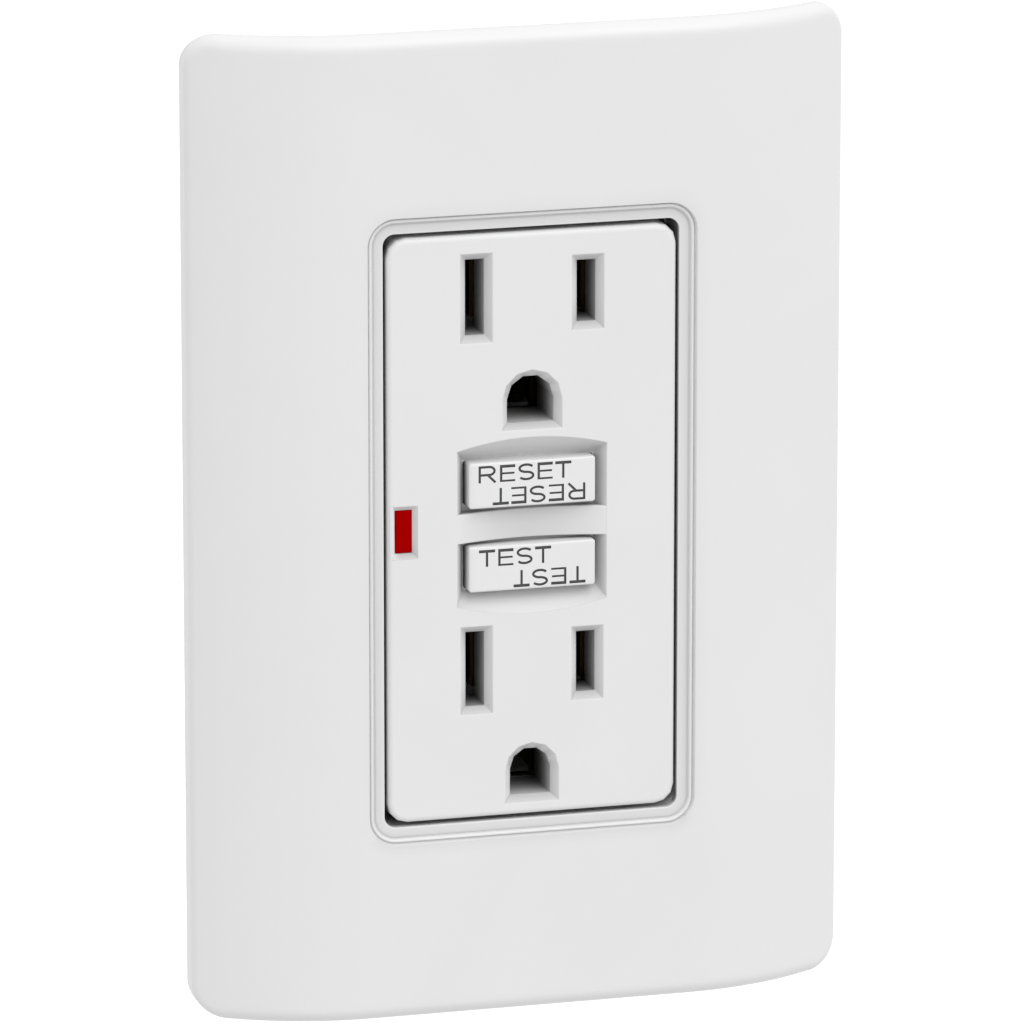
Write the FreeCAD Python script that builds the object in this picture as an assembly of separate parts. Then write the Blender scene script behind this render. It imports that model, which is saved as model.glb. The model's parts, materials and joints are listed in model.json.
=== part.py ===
import FreeCAD, Part
import math
import os

# Ground fault outlet for one wall box, with its screwless cover plate.
# Millimetres. X is to the right seen from the room, Y goes into the wall and Z is up.
# The origin is the middle of the device on the wall's surface, so the front faces -Y.

os.makedirs("parts", exist_ok=True)
Vec = FreeCAD.Vector
both_sides = (-1, 1)
corner_signs = ((1, 1), (1, -1), (-1, -1), (-1, 1))
hidden_sides = 12

# Clearances
thread_gap = 0.05
seat_gap = 0.15
run_gap = 0.3

# Outline of the body behind the wall's surface
body_half_w = 20.5
body_half_h = 34.0
body_corner_r = 2.0

# Face of the device
face_y = -9.2
face_inset_w = 3.95
face_half_w = body_half_w - face_inset_w
face_inset_h = 0.85
face_half_h = body_half_h - face_inset_h
face_corner_r = 2.3
face_edge = 0.6
cover_side_wall = 1.5
cover_front_wall = 2.4
cover_back_y = -1.6
boss_r = 2.3

# Plug positions: outlet rows, blades and ground pins
row_shares = (13 / 17, -8.1 / 17)
outlet_rows = tuple(share * body_half_h for share in row_shares)
blade_x = 6.35
slot_half_w = 1.06
slot_half_h = {-1: 4.25, 1: 3.45}
slot_bevel_w = 0.795
slot_bevel_depth = 0.86
ground_drop = 11.8
ground_hole_r = (2.62, 2.45)
ground_bevel_w = 0.7
ground_flat_extra = (0.0, 0.6)

# Button recess in the middle of the face
recess_half_w = 8.53
recess_half_h = 8.8
recess_arc_rise = 1.2
recess_floor_rise = 0.15
recess_depth = 1.9
recess_wall_lean = 0.95
bridge_half_h = 1.7
bridge_dish = 1.4
button_z = 4.8
button_half_w = 7.2
button_half_h = 2.75
button_proud = 0.2
button_gap = 0.25
button_wall = 1.1
button_edge = 0.35
button_back_y = -5.0
flange_over = 0.8
flange_half_h = 3.3
flange_thick = 0.9

# Indicator window
lens_from_edge = 2.085
lens_x = lens_from_edge - face_half_w
lens_half_w = 0.9
lens_half_h = 2.36
lens_gap = 0.05
lens_inset = 0.55
lens_bevel = 0.5
lens_back_y = 11.0
lens_lug_half_h = 3.2
lens_lug_thick = 0.9

# Mounting strap
strap_thick = 1.3
strap_wall_gap = 0.1
strap_y = (-strap_wall_gap - strap_thick, -strap_wall_gap)
strap_panel_inset = 3.95
strap_panel_half_w = face_half_w - strap_panel_inset
strap_panel_over = 0.5
strap_panel_half_h = body_half_h + strap_panel_over
strap_neck_half_w = 12.0
strap_ear_half_w = 21.0
box_screw_out = 7.65
box_screw_z = body_half_h + box_screw_out
plate_screw_pitch = 6.75
plate_screw_z = box_screw_z + plate_screw_pitch
ear_beyond = 4.0
ear_depth = 6.4
strap_half_h = plate_screw_z + ear_beyond
strap_ear_start = strap_half_h - ear_depth
strap_corner_r = 2.5
strap_open_half_w = 9.5
strap_open_inset = 3.0
strap_open_half_h = body_half_h - strap_open_inset
box_slot_half = 3.4
box_slot_r = 2.1
ground_tab_x = -12.0
ground_tab_thick = 1.1
ground_tab_depth = 8.5
ground_screw_y = 4.6
ground_tab_out = 6.0
ground_screw_z = -(body_half_h + ground_tab_out)
ground_tab_half = 4.0
ground_screw_reach = 3.3

# Curved cover plate
plate_proud = 0.5
plate_half_w = 37.4
plate_corner_r = 3.8
plate_flat_half = 18.2
plate_side_drop = 6.95
plate_edge_r = 1.6
plate_rim_depth = 2.8
plate_wall = 1.8
opening_gap_w = 0.37
opening_gap_h = 0.6
opening_corner_r = 1.3
band_w = 1.12
band_drop = 0.34
bead_w = 0.55
bead_rise = 0.42
border_w = 1.85
hook_inset = 4.0
hook_z = 40.0
hook_thick = 1.2
hook_half_h = 3.0
hook_reach = 0.6
hook_root = 0.9

# Mounting plate under the cover plate
sub_inset_w = 4.4
sub_corner_r = 3.0
sub_thick = 1.5
sub_rim_side = 1.8
sub_rim_end = 0.85
strap_end_gap = 0.35
sub_end_gap = 0.35
collar_gap = 0.75
collar_wall = 1.4

# Screws
box_stud_r = 1.75
box_neck_r = 1.6
box_neck_end = 1.4
box_screw_end = 22.0
small_head_r = 3.4
small_head_h = 1.6
plate_screw_end = 3.0
retainer_half = 4.2
retainer_gap = 0.15
retainer_thick = 0.85
post_side_inset = 2.25
post_x = face_half_w - post_side_inset
post_end_inset = 3.7
post_z = body_half_h - post_end_inset
housing_screw_r = 1.4
housing_screw_tip = -6.0
housing_head_r = 2.4
housing_head_h = 1.4
post_hole_r = 1.6
post_half = 3.0

# Housing behind the strap
frame_front_y = 0.3
frame_deck_y = 3.6
frame_back_y = 12.0
frame_wall = 2.0
rear_front_y = 12.3
rear_back_y = 30.0
rear_wall = 1.6
board_y = 21.7
board_thick = 1.6
board_gap = 0.5
component_base_y = board_y - seat_gap
standoff_inset = 4.1
standoff_x = body_half_w - standoff_inset
standoff_z = 20.0
standoff_half = 1.5

# Load contact strips with their blade clips
clip_gap_half = 0.62
leaf_thick = 0.7
clip_half_h = 3.2
clip_front_y = -4.0
strip_y = 8.0
strip_thick = 0.8
strip_half_w = 1.1
strip_beyond = 3.5
strip_top = outlet_rows[0] + strip_beyond
clip_window_gap = 0.9

# Terminals at the sides
terminal_end_inset = 12.0
terminal_z = body_half_h - terminal_end_inset
terminal_inset = 4.9
terminal_x = body_half_w - terminal_inset
terminal_thick = 1.0
terminal_half_h = 4.8
terminal_front_y = 2.8
terminal_screw_y = 6.0
terminal_screw_r = 1.9
terminal_head_r = 3.6
terminal_head_h = 2.0
terminal_head_inset = 1.6
terminal_head_x = body_half_w - terminal_head_inset
clamp_thick = 1.0
clamp_half_y = 3.5
clamp_half_z = 4.4
notch_front_y = 2.1
notch_gap = 0.4
notch_half_h = 5.4
bridge_reach = (2.4, -1.8)
bridge_z = tuple(-terminal_z - reach for reach in bridge_reach)
line_arm_y = 10.8
line_arm_half = 1.5
line_arm_z = (terminal_z - line_arm_half, terminal_z + line_arm_half)
line_leg_x = (1.2, 2.4)
line_leg_half = 1.0
line_leg_z = (terminal_z - line_leg_half, terminal_z + line_leg_half)

# Ground contacts on the strap
ground_base_y = strap_y[1] + thread_gap
ground_base_thick = 0.7
ground_base_inset = 0.4
ground_base_half_w = strap_panel_half_w - ground_base_inset
ground_base_half_h = 4.1
ground_open_half_h = 3.1
ground_leaf_x = 2.3
ground_leaf_half_h = 2.5
ground_leaf_end = 8.0

# Reset pin, carriage and latch
pin_r = 1.2
pin_neck_r = 0.75
pin_tip_r = 1.5
pin_point_r = 0.6
pin_start_y = -7.5
pin_neck_y = (13.3, 14.75)
pin_tip_y = 15.6
pin_end_y = 16.6
button_boss_r = 2.1
reset_boss_end = -3.6
spring_pocket_r = 2.6
spring_pocket_y = 2.6
carriage_front_y = 11.4
carriage_wing_y = 14.95
carriage_back_y = 17.4
carriage_half_w = 9.2
carriage_core_half_w = 4.2
carriage_z = (0.8, 8.8)
latch_y = 13.7
latch_thick = 0.8
latch_half_w = 2.5
latch_z = (-2.6, 8.3)
latch_travel = 1.5
latch_hole_r = 1.75
latch_foot_y = 16.6
latch_foot_thick = 0.8
latch_spring_half_w = 1.5
latch_spring_thick = 0.25
guide_wall = 1.2
guide_front_y = 12.9
guide_base_y = 20.0

# Test contact
test_stem_r = 1.6
test_stem_end = 0.35
test_leaf_y = 0.65
test_leaf_thick = 0.4
test_leaf_half_h = 1.5
test_leaf_x = (-6.0, 13.0)
test_step_x = 9.0
test_pocket_y = 3.1
test_lead_x = -3.0
test_lead_front = 2.7
test_body_r = 1.2
test_body_y = (4.2, 10.2)
test_turn_y = 10.5
test_rear_x = -8.0
lead_half = 0.25

# Moving and fixed contacts
contact_z = button_z
contact_r = 1.5
contact_h = 0.8
contact_gap = 0.15
arm_thick = 0.5
arm_half_w = 1.75
arm_post = 1.2
arm_z = (2.8, carriage_z[1] + run_gap + arm_post)

# Solenoid
coil_y = 16.0
coil_z = (-21.8, -5.7)
bobbin_bore_r = 2.3
bobbin_tube_r = 3.1
bobbin_half = 5.0
bobbin_flange = 1.0
coil_r = 4.8
coil_frame_thick = 1.0
plunger_r = 2.0
plunger_tip_r = 1.6
plunger_tail_r = 1.1
plunger_z = (-21.0, -7.5)
plunger_head_z = (-27.4, -26.6)
plunger_head_r = 2.4

# Current transformers round the line conductors
ring_z = terminal_z
ring_front_y = 12.4
ring_back_y = 21.5
ring_outer_r = 9.8
ring_wall = 0.8
ring_bore_r = 3.5
core_r = (5.1, 8.0)
core_thick = 2.6
winding_thick = 0.6
winding_loops = 8
winding_half_w = 0.9
winding_gap = 0.2
core_pitch = core_thick + 2 * winding_thick + winding_gap

# Springs
reset_spring_mean_r = 1.8
reset_spring_wire_r = 0.28
reset_spring_turns = 4
plunger_spring_mean_r = 1.65
plunger_spring_wire_r = 0.2
plunger_spring_turns = 3

# Parts on the circuit board
part_inset = 8.0
varistor_x = body_half_w - part_inset
varistor_up = 13.0
varistor_z = varistor_up - body_half_h
varistor_r = 4.8
varistor_half = 1.8
varistor_y = 16.2
capacitor_x = part_inset - body_half_w
capacitors_up = (12.0, 19.0)
capacitor_zs = tuple(up - body_half_h for up in capacitors_up)
capacitor_r = 3.0
capacitor_front_y = 13.5
chip_x = part_inset - body_half_w
chip_up = 26.5
chip_z = chip_up - body_half_h
chip_half_x = 2.6
chip_half_z = 3.4
chip_thick = 1.6
switch_x = body_half_w - part_inset
switch_up = 24.5
switch_z = switch_up - body_half_h
switch_r = 2.3
switch_y = (13.5, 18.2)
switch_flat = 1.15
led_r = 1.5
led_length = 3.7
lead_spread = 1.27


def box(x, y, z):
    low = Vec(min(x), min(y), min(z))
    return Part.makeBox(abs(x[1] - x[0]), abs(y[1] - y[0]), abs(z[1] - z[0]), low)


def centred_box(cx, half_x, y, cz, half_z):
    return box((cx - half_x, cx + half_x), y, (cz - half_z, cz + half_z))


def rod(radius, start, end):
    line = end - start
    return Part.makeCylinder(radius, line.Length, start, line)


def rod_y(radius, x, z, y):
    return rod(radius, Vec(x, y[0], z), Vec(x, y[1], z))


def rounded_outline(half_w, half_h, radius, y, cx=0.0, cz=0.0):
    # Rounded rectangle that faces -Y, as four lines and four arcs
    lean = radius * (1 - math.sqrt(0.5))
    edges = []
    for number, (sx, sz) in enumerate(corner_signs):
        cross = number % 2 == 0
        near = Vec(cx + sx * (half_w - radius), y, cz + sz * half_h)
        far = Vec(cx + sx * half_w, y, cz + sz * (half_h - radius))
        start, end = (near, far) if cross else (far, near)
        middle = Vec(cx + sx * (half_w - lean), y, cz + sz * (half_h - lean))
        nx, nz = corner_signs[(number + 1) % len(corner_signs)]
        next_near = Vec(cx + nx * (half_w - radius), y, cz + nz * half_h)
        next_far = Vec(cx + nx * half_w, y, cz + nz * (half_h - radius))
        edges.append(Part.Arc(start, middle, end).toShape())
        edges.append(Part.makeLine(end, next_far if cross else next_near))
    return Part.Wire(edges)


def rounded_block(half_w, half_h, radius, y, cx=0.0, cz=0.0):
    outline = rounded_outline(half_w, half_h, radius, min(y), cx, cz)
    return Part.Face(outline).extrude(Vec(0, abs(y[1] - y[0]), 0))


def rectangle(half_w, half_h, y, cx, cz):
    points = [Vec(cx + sx * half_w, y, cz + sz * half_h) for sx, sz in corner_signs]
    return Part.makePolygon(points + points[:1])


def tapered(front, back):
    return Part.makeLoft([front, back], True, True)


def fuse_all(shapes):
    return shapes[0].multiFuse(shapes[1:]).removeSplitter()


def about(start, line, reach, side, height):
    # Point at a height along line, out from it by reach, at one of its even turns
    turn = 2 * math.pi * side / hidden_sides
    away = Vec(reach * math.cos(turn), reach * math.sin(turn), height)
    return start + FreeCAD.Rotation(Vec(0, 0, 1), line).multVec(away)


def prism(radius, start, end):
    # Small round piece or hole inside, with flat sides
    line = end - start
    points = [about(start, line, radius, side, 0) for side in range(hidden_sides)]
    return Part.Face(Part.makePolygon(points + points[:1])).extrude(line)


def prism_y(radius, x, z, y):
    return prism(radius, Vec(x, y[0], z), Vec(x, y[1], z))


def prism_ring_y(inner, outer, x, z, y):
    return prism_y(outer, x, z, y).cut(prism_y(inner, x, z, y))


def coil_spring(mean_r, wire_r, turns, start, end):
    # Square wire on a many-sided helix, as a ruled loft from start to end
    line = end - start
    steps = turns * hidden_sides
    rise = (line.Length - 2 * wire_r) / steps
    sections = []
    for step in range(steps + 1):
        middle = wire_r + step * rise
        points = [
            about(start, line, mean_r + out * wire_r, step, middle + up * wire_r) for out, up in corner_signs
        ]
        sections.append(Part.makePolygon(points + points[:1]))
    return Part.makeLoft(sections, True, True)


def screw(radius, head_r, head_h, start, end):
    # Round head on a plain shank that runs from start to end
    along = Vec(end - start).normalize()
    return fuse_all([prism(head_r, start - along * head_h, start), prism(radius, start, end)])


sub_half_w = plate_half_w - sub_inset_w
sub_half_h = strap_half_h + strap_end_gap + sub_rim_end
plate_half_h = sub_half_h + sub_end_gap + plate_wall
hook_x = sub_half_w - hook_inset
plate_bend_span = plate_half_w - plate_flat_half
plate_bend_r = (plate_bend_span**2 + plate_side_drop**2) / (2 * plate_side_drop)
plate_front_y = face_y - plate_proud
opening_half_w = face_half_w + opening_gap_w
opening_half_h = face_half_h + opening_gap_h
sub_back_y = strap_y[0] - seat_gap
sub_front_y = sub_back_y - sub_thick
collar_half_w = face_half_w + collar_gap
collar_half_h = face_half_h + collar_gap
ground_rows = tuple(row - ground_drop for row in outlet_rows)
recess_floor_y = face_y + recess_depth
cover_inner_y = face_y + cover_front_wall
lens_front_y = face_y + lens_inset
strip_back_y = strip_y + strip_thick
posts = [(sx * post_x, sz * post_z) for sx, sz in corner_signs]
arm_y = strip_back_y + 2 * contact_h + contact_gap


def bend_drop(x):
    # How far the plate's front falls back at a distance x from its middle
    past = max(0.0, abs(x) - plate_flat_half)
    return plate_bend_r - math.sqrt(plate_bend_r**2 - past**2)


def plate_block(half_w, shift, back_y, half_h):
    # Block between the plate's curved front, moved back by shift, and a flat back
    middle_x = (plate_flat_half + half_w) / 2
    y = plate_front_y + shift

    def at(x):
        return Vec(x, y + bend_drop(x), -half_h)

    edges = [
        Part.Arc(at(-half_w), at(-middle_x), at(-plate_flat_half)).toShape(),
        Part.makeLine(at(-plate_flat_half), at(plate_flat_half)),
        Part.Arc(at(plate_flat_half), at(middle_x), at(half_w)).toShape(),
        Part.makeLine(at(half_w), Vec(half_w, back_y, -half_h)),
        Part.makeLine(Vec(half_w, back_y, -half_h), Vec(-half_w, back_y, -half_h)),
        Part.makeLine(Vec(-half_w, back_y, -half_h), at(-half_w)),
    ]
    return Part.Face(Part.Wire(edges)).extrude(Vec(0, 0, 2 * half_h))


def plate_hook(sx, sz):
    # Arm with a nub that catches behind the mounting plate
    root_y = plate_front_y + plate_wall + bend_drop(hook_x) - hook_root
    arm_z = (sz * hook_z - hook_half_h, sz * hook_z + hook_half_h)
    nub_y = (sub_back_y + seat_gap, sub_back_y + seat_gap + hook_reach)
    arm = box((sx * hook_x, sx * (hook_x + hook_thick)), (root_y, nub_y[1]), arm_z)
    return arm.fuse(box((sx * (hook_x - hook_reach), sx * hook_x), nub_y, arm_z))


def is_front_edge(edge):
    # True where the curved front meets the sides, the ends and the corners
    x = abs(edge.CenterOfMass.x)
    z = abs(edge.CenterOfMass.z)
    outside = x > plate_half_w - plate_corner_r or z > plate_half_h - plate_corner_r
    return outside and edge.BoundBox.YMax < -plate_edge_r / 2


def faceplate():
    body = plate_block(plate_half_w, 0, 0, plate_half_h)
    body = body.common(rounded_block(plate_half_w, plate_half_h, plate_corner_r, (2 * plate_front_y, 0)))
    body = body.makeFillet(plate_edge_r, [edge for edge in body.Edges if is_front_edge(edge)])
    inner_w = plate_half_w - plate_wall
    inner_h = plate_half_h - plate_wall
    hollow = plate_block(inner_w, plate_wall, plate_wall, inner_h)
    arch = plate_block(inner_w, plate_rim_depth, plate_wall, plate_half_h + plate_wall)
    hooks = [plate_hook(sx, sz) for sx, sz in corner_signs]
    body = fuse_all([body.cut([hollow, arch])] + hooks)
    # A moat round the opening, a bead that stands in it, and a sloped band down to the opening
    moat_w = opening_half_w + border_w
    moat_h = opening_half_h + border_w
    moat = rounded_block(moat_w, moat_h, opening_corner_r + border_w, (2 * plate_front_y, face_y))
    bead_y = (face_y - bead_rise, face_y)
    bead_in_w = opening_half_w + band_w
    bead_in_h = opening_half_h + band_w
    bead_in_r = opening_corner_r + band_w
    bead = rounded_block(bead_in_w + bead_w, bead_in_h + bead_w, bead_in_r + bead_w, bead_y)
    bead = bead.cut(rounded_block(bead_in_w, bead_in_h, bead_in_r, bead_y))
    band_front = rounded_outline(bead_in_w, bead_in_h, bead_in_r, face_y)
    band_back = rounded_outline(opening_half_w, opening_half_h, opening_corner_r, face_y + band_drop)
    through = rounded_block(opening_half_w, opening_half_h, opening_corner_r, (2 * plate_front_y, 0))
    body = body.cut(moat).fuse(bead)
    return body.cut([tapered(band_front, band_back), through]).removeSplitter()


def mounting_plate():
    body = rounded_block(sub_half_w, sub_half_h, sub_corner_r, (sub_front_y, 0))
    rim_w = sub_half_w - sub_rim_side
    rim_h = sub_half_h - sub_rim_end
    body = body.cut(rounded_block(rim_w, rim_h, sub_corner_r - sub_rim_end, (sub_back_y, sub_thick)))
    collar_w = collar_half_w + collar_wall
    collar_h = collar_half_h + collar_wall
    collar_front = plate_front_y + plate_wall + run_gap
    collar = rounded_block(collar_w, collar_h, face_corner_r + collar_wall, (collar_front, sub_back_y))
    deep_y = (plate_front_y, sub_thick)
    tools = [rounded_block(collar_half_w, collar_half_h, face_corner_r, deep_y)]
    for sz in both_sides:
        tools.append(prism_y(small_head_r + 2 * run_gap, 0, sz * box_screw_z, deep_y))
        tools.append(prism_y(box_stud_r + run_gap, 0, sz * plate_screw_z, deep_y))
    for sx, sz in corner_signs:
        middle = sx * (hook_x + (hook_thick - hook_reach) / 2)
        half = (hook_thick + hook_reach) / 2 + run_gap
        tools.append(centred_box(middle, half, deep_y, sz * hook_z, hook_half_h + run_gap))
    return body.fuse(collar).cut(tools).removeSplitter()


def plate_screws():
    return [
        screw(
            box_stud_r,
            small_head_r,
            small_head_h,
            Vec(0, sub_front_y - thread_gap, sz * plate_screw_z),
            Vec(0, plate_screw_end, sz * plate_screw_z),
        )
        for sz in both_sides
    ]


def yoke_strap():
    y = strap_y
    panel = rounded_block(strap_panel_half_w, strap_panel_half_h, strap_corner_r, y)
    neck = centred_box(0, strap_neck_half_w, y, 0, strap_half_h - strap_corner_r)
    ear_half_h = (strap_half_h - strap_ear_start) / 2
    ears = [
        rounded_block(strap_ear_half_w, ear_half_h, strap_corner_r, y, cz=sz * (strap_half_h - ear_half_h))
        for sz in both_sides
    ]
    tab_x = (ground_tab_x, ground_tab_x + ground_tab_thick)
    tab_z = (ground_screw_z - ground_tab_half, ground_screw_z + ground_tab_half)
    tab = box(tab_x, (strap_y[0], ground_tab_depth), tab_z)
    body = fuse_all([panel, neck, tab] + ears)
    cut_y = (-2 * strap_thick, strap_thick)
    tools = [
        centred_box(0, strap_open_half_w, cut_y, 0, strap_open_half_h),
        prism(
            terminal_screw_r + thread_gap,
            Vec(2 * ground_tab_x, ground_screw_y, ground_screw_z),
            Vec(0, ground_screw_y, ground_screw_z),
        ),
    ]
    for sz in both_sides:
        tools.append(prism_y(box_stud_r + thread_gap, 0, sz * plate_screw_z, cut_y))
        slot_r = box_slot_r - thread_gap
        tools.append(rounded_block(box_slot_half, box_slot_r, slot_r, cut_y, cz=sz * box_screw_z))
    return body.cut(tools)


def box_screws():
    screws = []
    for sz in both_sides:
        z = sz * box_screw_z
        head_back = strap_y[0] - thread_gap
        neck = screw(box_neck_r, small_head_r, small_head_h, Vec(0, head_back, z), Vec(0, box_neck_end, z))
        screws.append(neck.fuse(rod_y(box_stud_r, 0, z, (box_neck_end, box_screw_end))))
    return screws


def screw_retainers():
    y = (strap_y[1] + retainer_gap, strap_y[1] + retainer_gap + retainer_thick)
    washers = []
    for sz in both_sides:
        washer = centred_box(0, retainer_half, y, sz * box_screw_z, retainer_half)
        washers.append(washer.cut(prism_y(box_neck_r + thread_gap, 0, sz * box_screw_z, y)))
    return washers


def ground_outline(radius, flat, y, z):
    # Half circle on top and a flat bottom
    return Part.Wire(
        [
            Part.Arc(Vec(-radius, y, z), Vec(0, y, z + radius), Vec(radius, y, z)).toShape(),
            Part.makeLine(Vec(radius, y, z), Vec(radius, y, z - flat)),
            Part.makeLine(Vec(radius, y, z - flat), Vec(-radius, y, z - flat)),
            Part.makeLine(Vec(-radius, y, z - flat), Vec(-radius, y, z)),
        ]
    )


def recess_outline(half_w, half_h, rise, y):
    return Part.Wire(
        [
            Part.Arc(Vec(-half_w, y, half_h), Vec(0, y, half_h + rise), Vec(half_w, y, half_h)).toShape(),
            Part.makeLine(Vec(half_w, y, half_h), Vec(half_w, y, -half_h)),
            Part.Arc(Vec(half_w, y, -half_h), Vec(0, y, -half_h - rise), Vec(-half_w, y, -half_h)).toShape(),
            Part.makeLine(Vec(-half_w, y, -half_h), Vec(-half_w, y, half_h)),
        ]
    )


def slot_cutters():
    # Bevelled mouths and straight slots for the blades and ground pins
    tools = []
    deep_y = cover_inner_y + cover_front_wall
    bevel_y = face_y + slot_bevel_depth
    for row in outlet_rows:
        for side in both_sides:
            x = side * blade_x
            half_h = slot_half_h[side]
            mouth = rectangle(slot_half_w + slot_bevel_w, half_h + slot_bevel_w, face_y, x, row)
            tools.append(tapered(mouth, rectangle(slot_half_w, half_h, bevel_y, x, row)))
            tools.append(centred_box(x, slot_half_w, (bevel_y, deep_y), row, half_h))
    for row, radius, extra in zip(ground_rows, ground_hole_r, ground_flat_extra):
        flat = radius + extra
        mouth = ground_outline(radius + ground_bevel_w, flat + ground_bevel_w, face_y, row)
        inner = ground_outline(radius, flat, bevel_y, row)
        tools.append(tapered(mouth, inner))
        tools.append(Part.Face(inner).extrude(Vec(0, deep_y - bevel_y, 0)))
    return tools


def face_cover():
    body = rounded_block(face_half_w, face_half_h, face_corner_r, (face_y, cover_back_y))
    rim = [edge for edge in body.Edges if edge.BoundBox.YMax < face_y + face_edge]
    body = body.makeChamfer(face_edge, rim)
    inner_w = face_half_w - cover_side_wall
    inner_h = face_half_h - cover_side_wall
    hollow = rounded_block(inner_w, inner_h, face_corner_r - cover_side_wall, (cover_inner_y, 0))
    bosses = [prism_y(boss_r, x, z, (cover_inner_y, cover_back_y)) for x, z in posts]
    body = fuse_all([body.cut(hollow)] + bosses)
    floor_w = recess_half_w - recess_wall_lean
    floor_h = recess_half_h - recess_wall_lean
    recess = tapered(
        recess_outline(recess_half_w, recess_half_h, recess_arc_rise, face_y),
        recess_outline(floor_w, floor_h, recess_floor_rise, recess_floor_y),
    )
    body = body.cut([recess] + slot_cutters())
    dish_r = (recess_half_w**2 + bridge_dish**2) / (2 * bridge_dish)
    bridge = centred_box(0, recess_half_w, (face_y, cover_inner_y), 0, bridge_half_h)
    dish_y = face_y + bridge_dish - dish_r
    bridge = bridge.cut(rod(dish_r, Vec(0, dish_y, -recess_half_h), Vec(0, dish_y, recess_half_h)))
    body = body.fuse(bridge)
    hole_w = button_half_w + button_gap
    hole_h = button_half_h + button_gap
    tools = [centred_box(0, hole_w, (face_y, 0), sz * button_z, hole_h) for sz in both_sides]
    lens_w = lens_half_w + lens_gap
    lens_h = lens_half_h + lens_gap
    window = rectangle(lens_w + lens_bevel, lens_h + lens_bevel, face_y, lens_x, 0)
    tools.append(tapered(window, rectangle(lens_w, lens_h, lens_front_y, lens_x, 0)))
    tools.append(centred_box(lens_x, lens_w, (lens_front_y, 0), 0, lens_h))
    tools.append(centred_box(lens_x, lens_w, (cover_inner_y, 0), 0, lens_lug_half_h + run_gap))
    screw_y = (housing_screw_tip - run_gap, 0)
    tools += [prism_y(housing_screw_r + thread_gap, x, z, screw_y) for x, z in posts]
    return body.cut(tools).removeSplitter()


def indicator_lens():
    pipe = centred_box(lens_x, lens_half_w, (lens_front_y, lens_back_y), 0, lens_half_h)
    lug_y = (cover_inner_y + seat_gap, cover_inner_y + seat_gap + lens_lug_thick)
    return fuse_all([pipe, centred_box(lens_x, lens_half_w, lug_y, 0, lens_lug_half_h)])


def button_cap(z, flange_y, stem_r, stem_end):
    front_y = face_y - button_proud
    cap = centred_box(0, button_half_w, (front_y, flange_y), z, button_half_h)
    rim = [edge for edge in cap.Edges if edge.BoundBox.YMax < front_y + button_edge]
    cap = cap.makeChamfer(button_edge, rim)
    flange_end = flange_y + flange_thick
    flange = centred_box(0, button_half_w + flange_over, (flange_y, flange_end), z, flange_half_h)
    inner_y = front_y + button_wall
    inner_w = button_half_w - button_wall
    hollow = centred_box(0, inner_w, (inner_y, flange_end), z, button_half_h - button_wall)
    stem = prism_y(stem_r, 0, z, (inner_y, stem_end))
    return fuse_all([cap.fuse(flange).cut(hollow), stem])


def reset_button():
    cap = button_cap(button_z, button_back_y, button_boss_r, reset_boss_end)
    return cap.cut(prism_y(pin_r + thread_gap, 0, button_z, (pin_start_y - thread_gap, 0)))


def test_button():
    return button_cap(-button_z, cover_inner_y + run_gap, test_stem_r, test_stem_end)


def reset_pin():
    # Long shank, a neck that the latch grips, and a wider tip with a lead-in taper
    def ring(radius, y):
        start = Vec(0, y, button_z)
        points = [about(start, Vec(0, 1, 0), radius, side, 0) for side in range(hidden_sides)]
        return Part.makePolygon(points + points[:1])

    pieces = [
        prism_y(pin_r, 0, button_z, (pin_start_y, pin_neck_y[0])),
        prism_y(pin_neck_r, 0, button_z, pin_neck_y),
        prism_y(pin_tip_r, 0, button_z, (pin_neck_y[1], pin_tip_y)),
        tapered(ring(pin_tip_r, pin_tip_y), ring(pin_point_r, pin_end_y)),
    ]
    return fuse_all(pieces)


def reset_spring():
    return coil_spring(
        reset_spring_mean_r,
        reset_spring_wire_r,
        reset_spring_turns,
        Vec(0, reset_boss_end + seat_gap, button_z),
        Vec(0, spring_pocket_y - seat_gap, button_z),
    )


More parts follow.
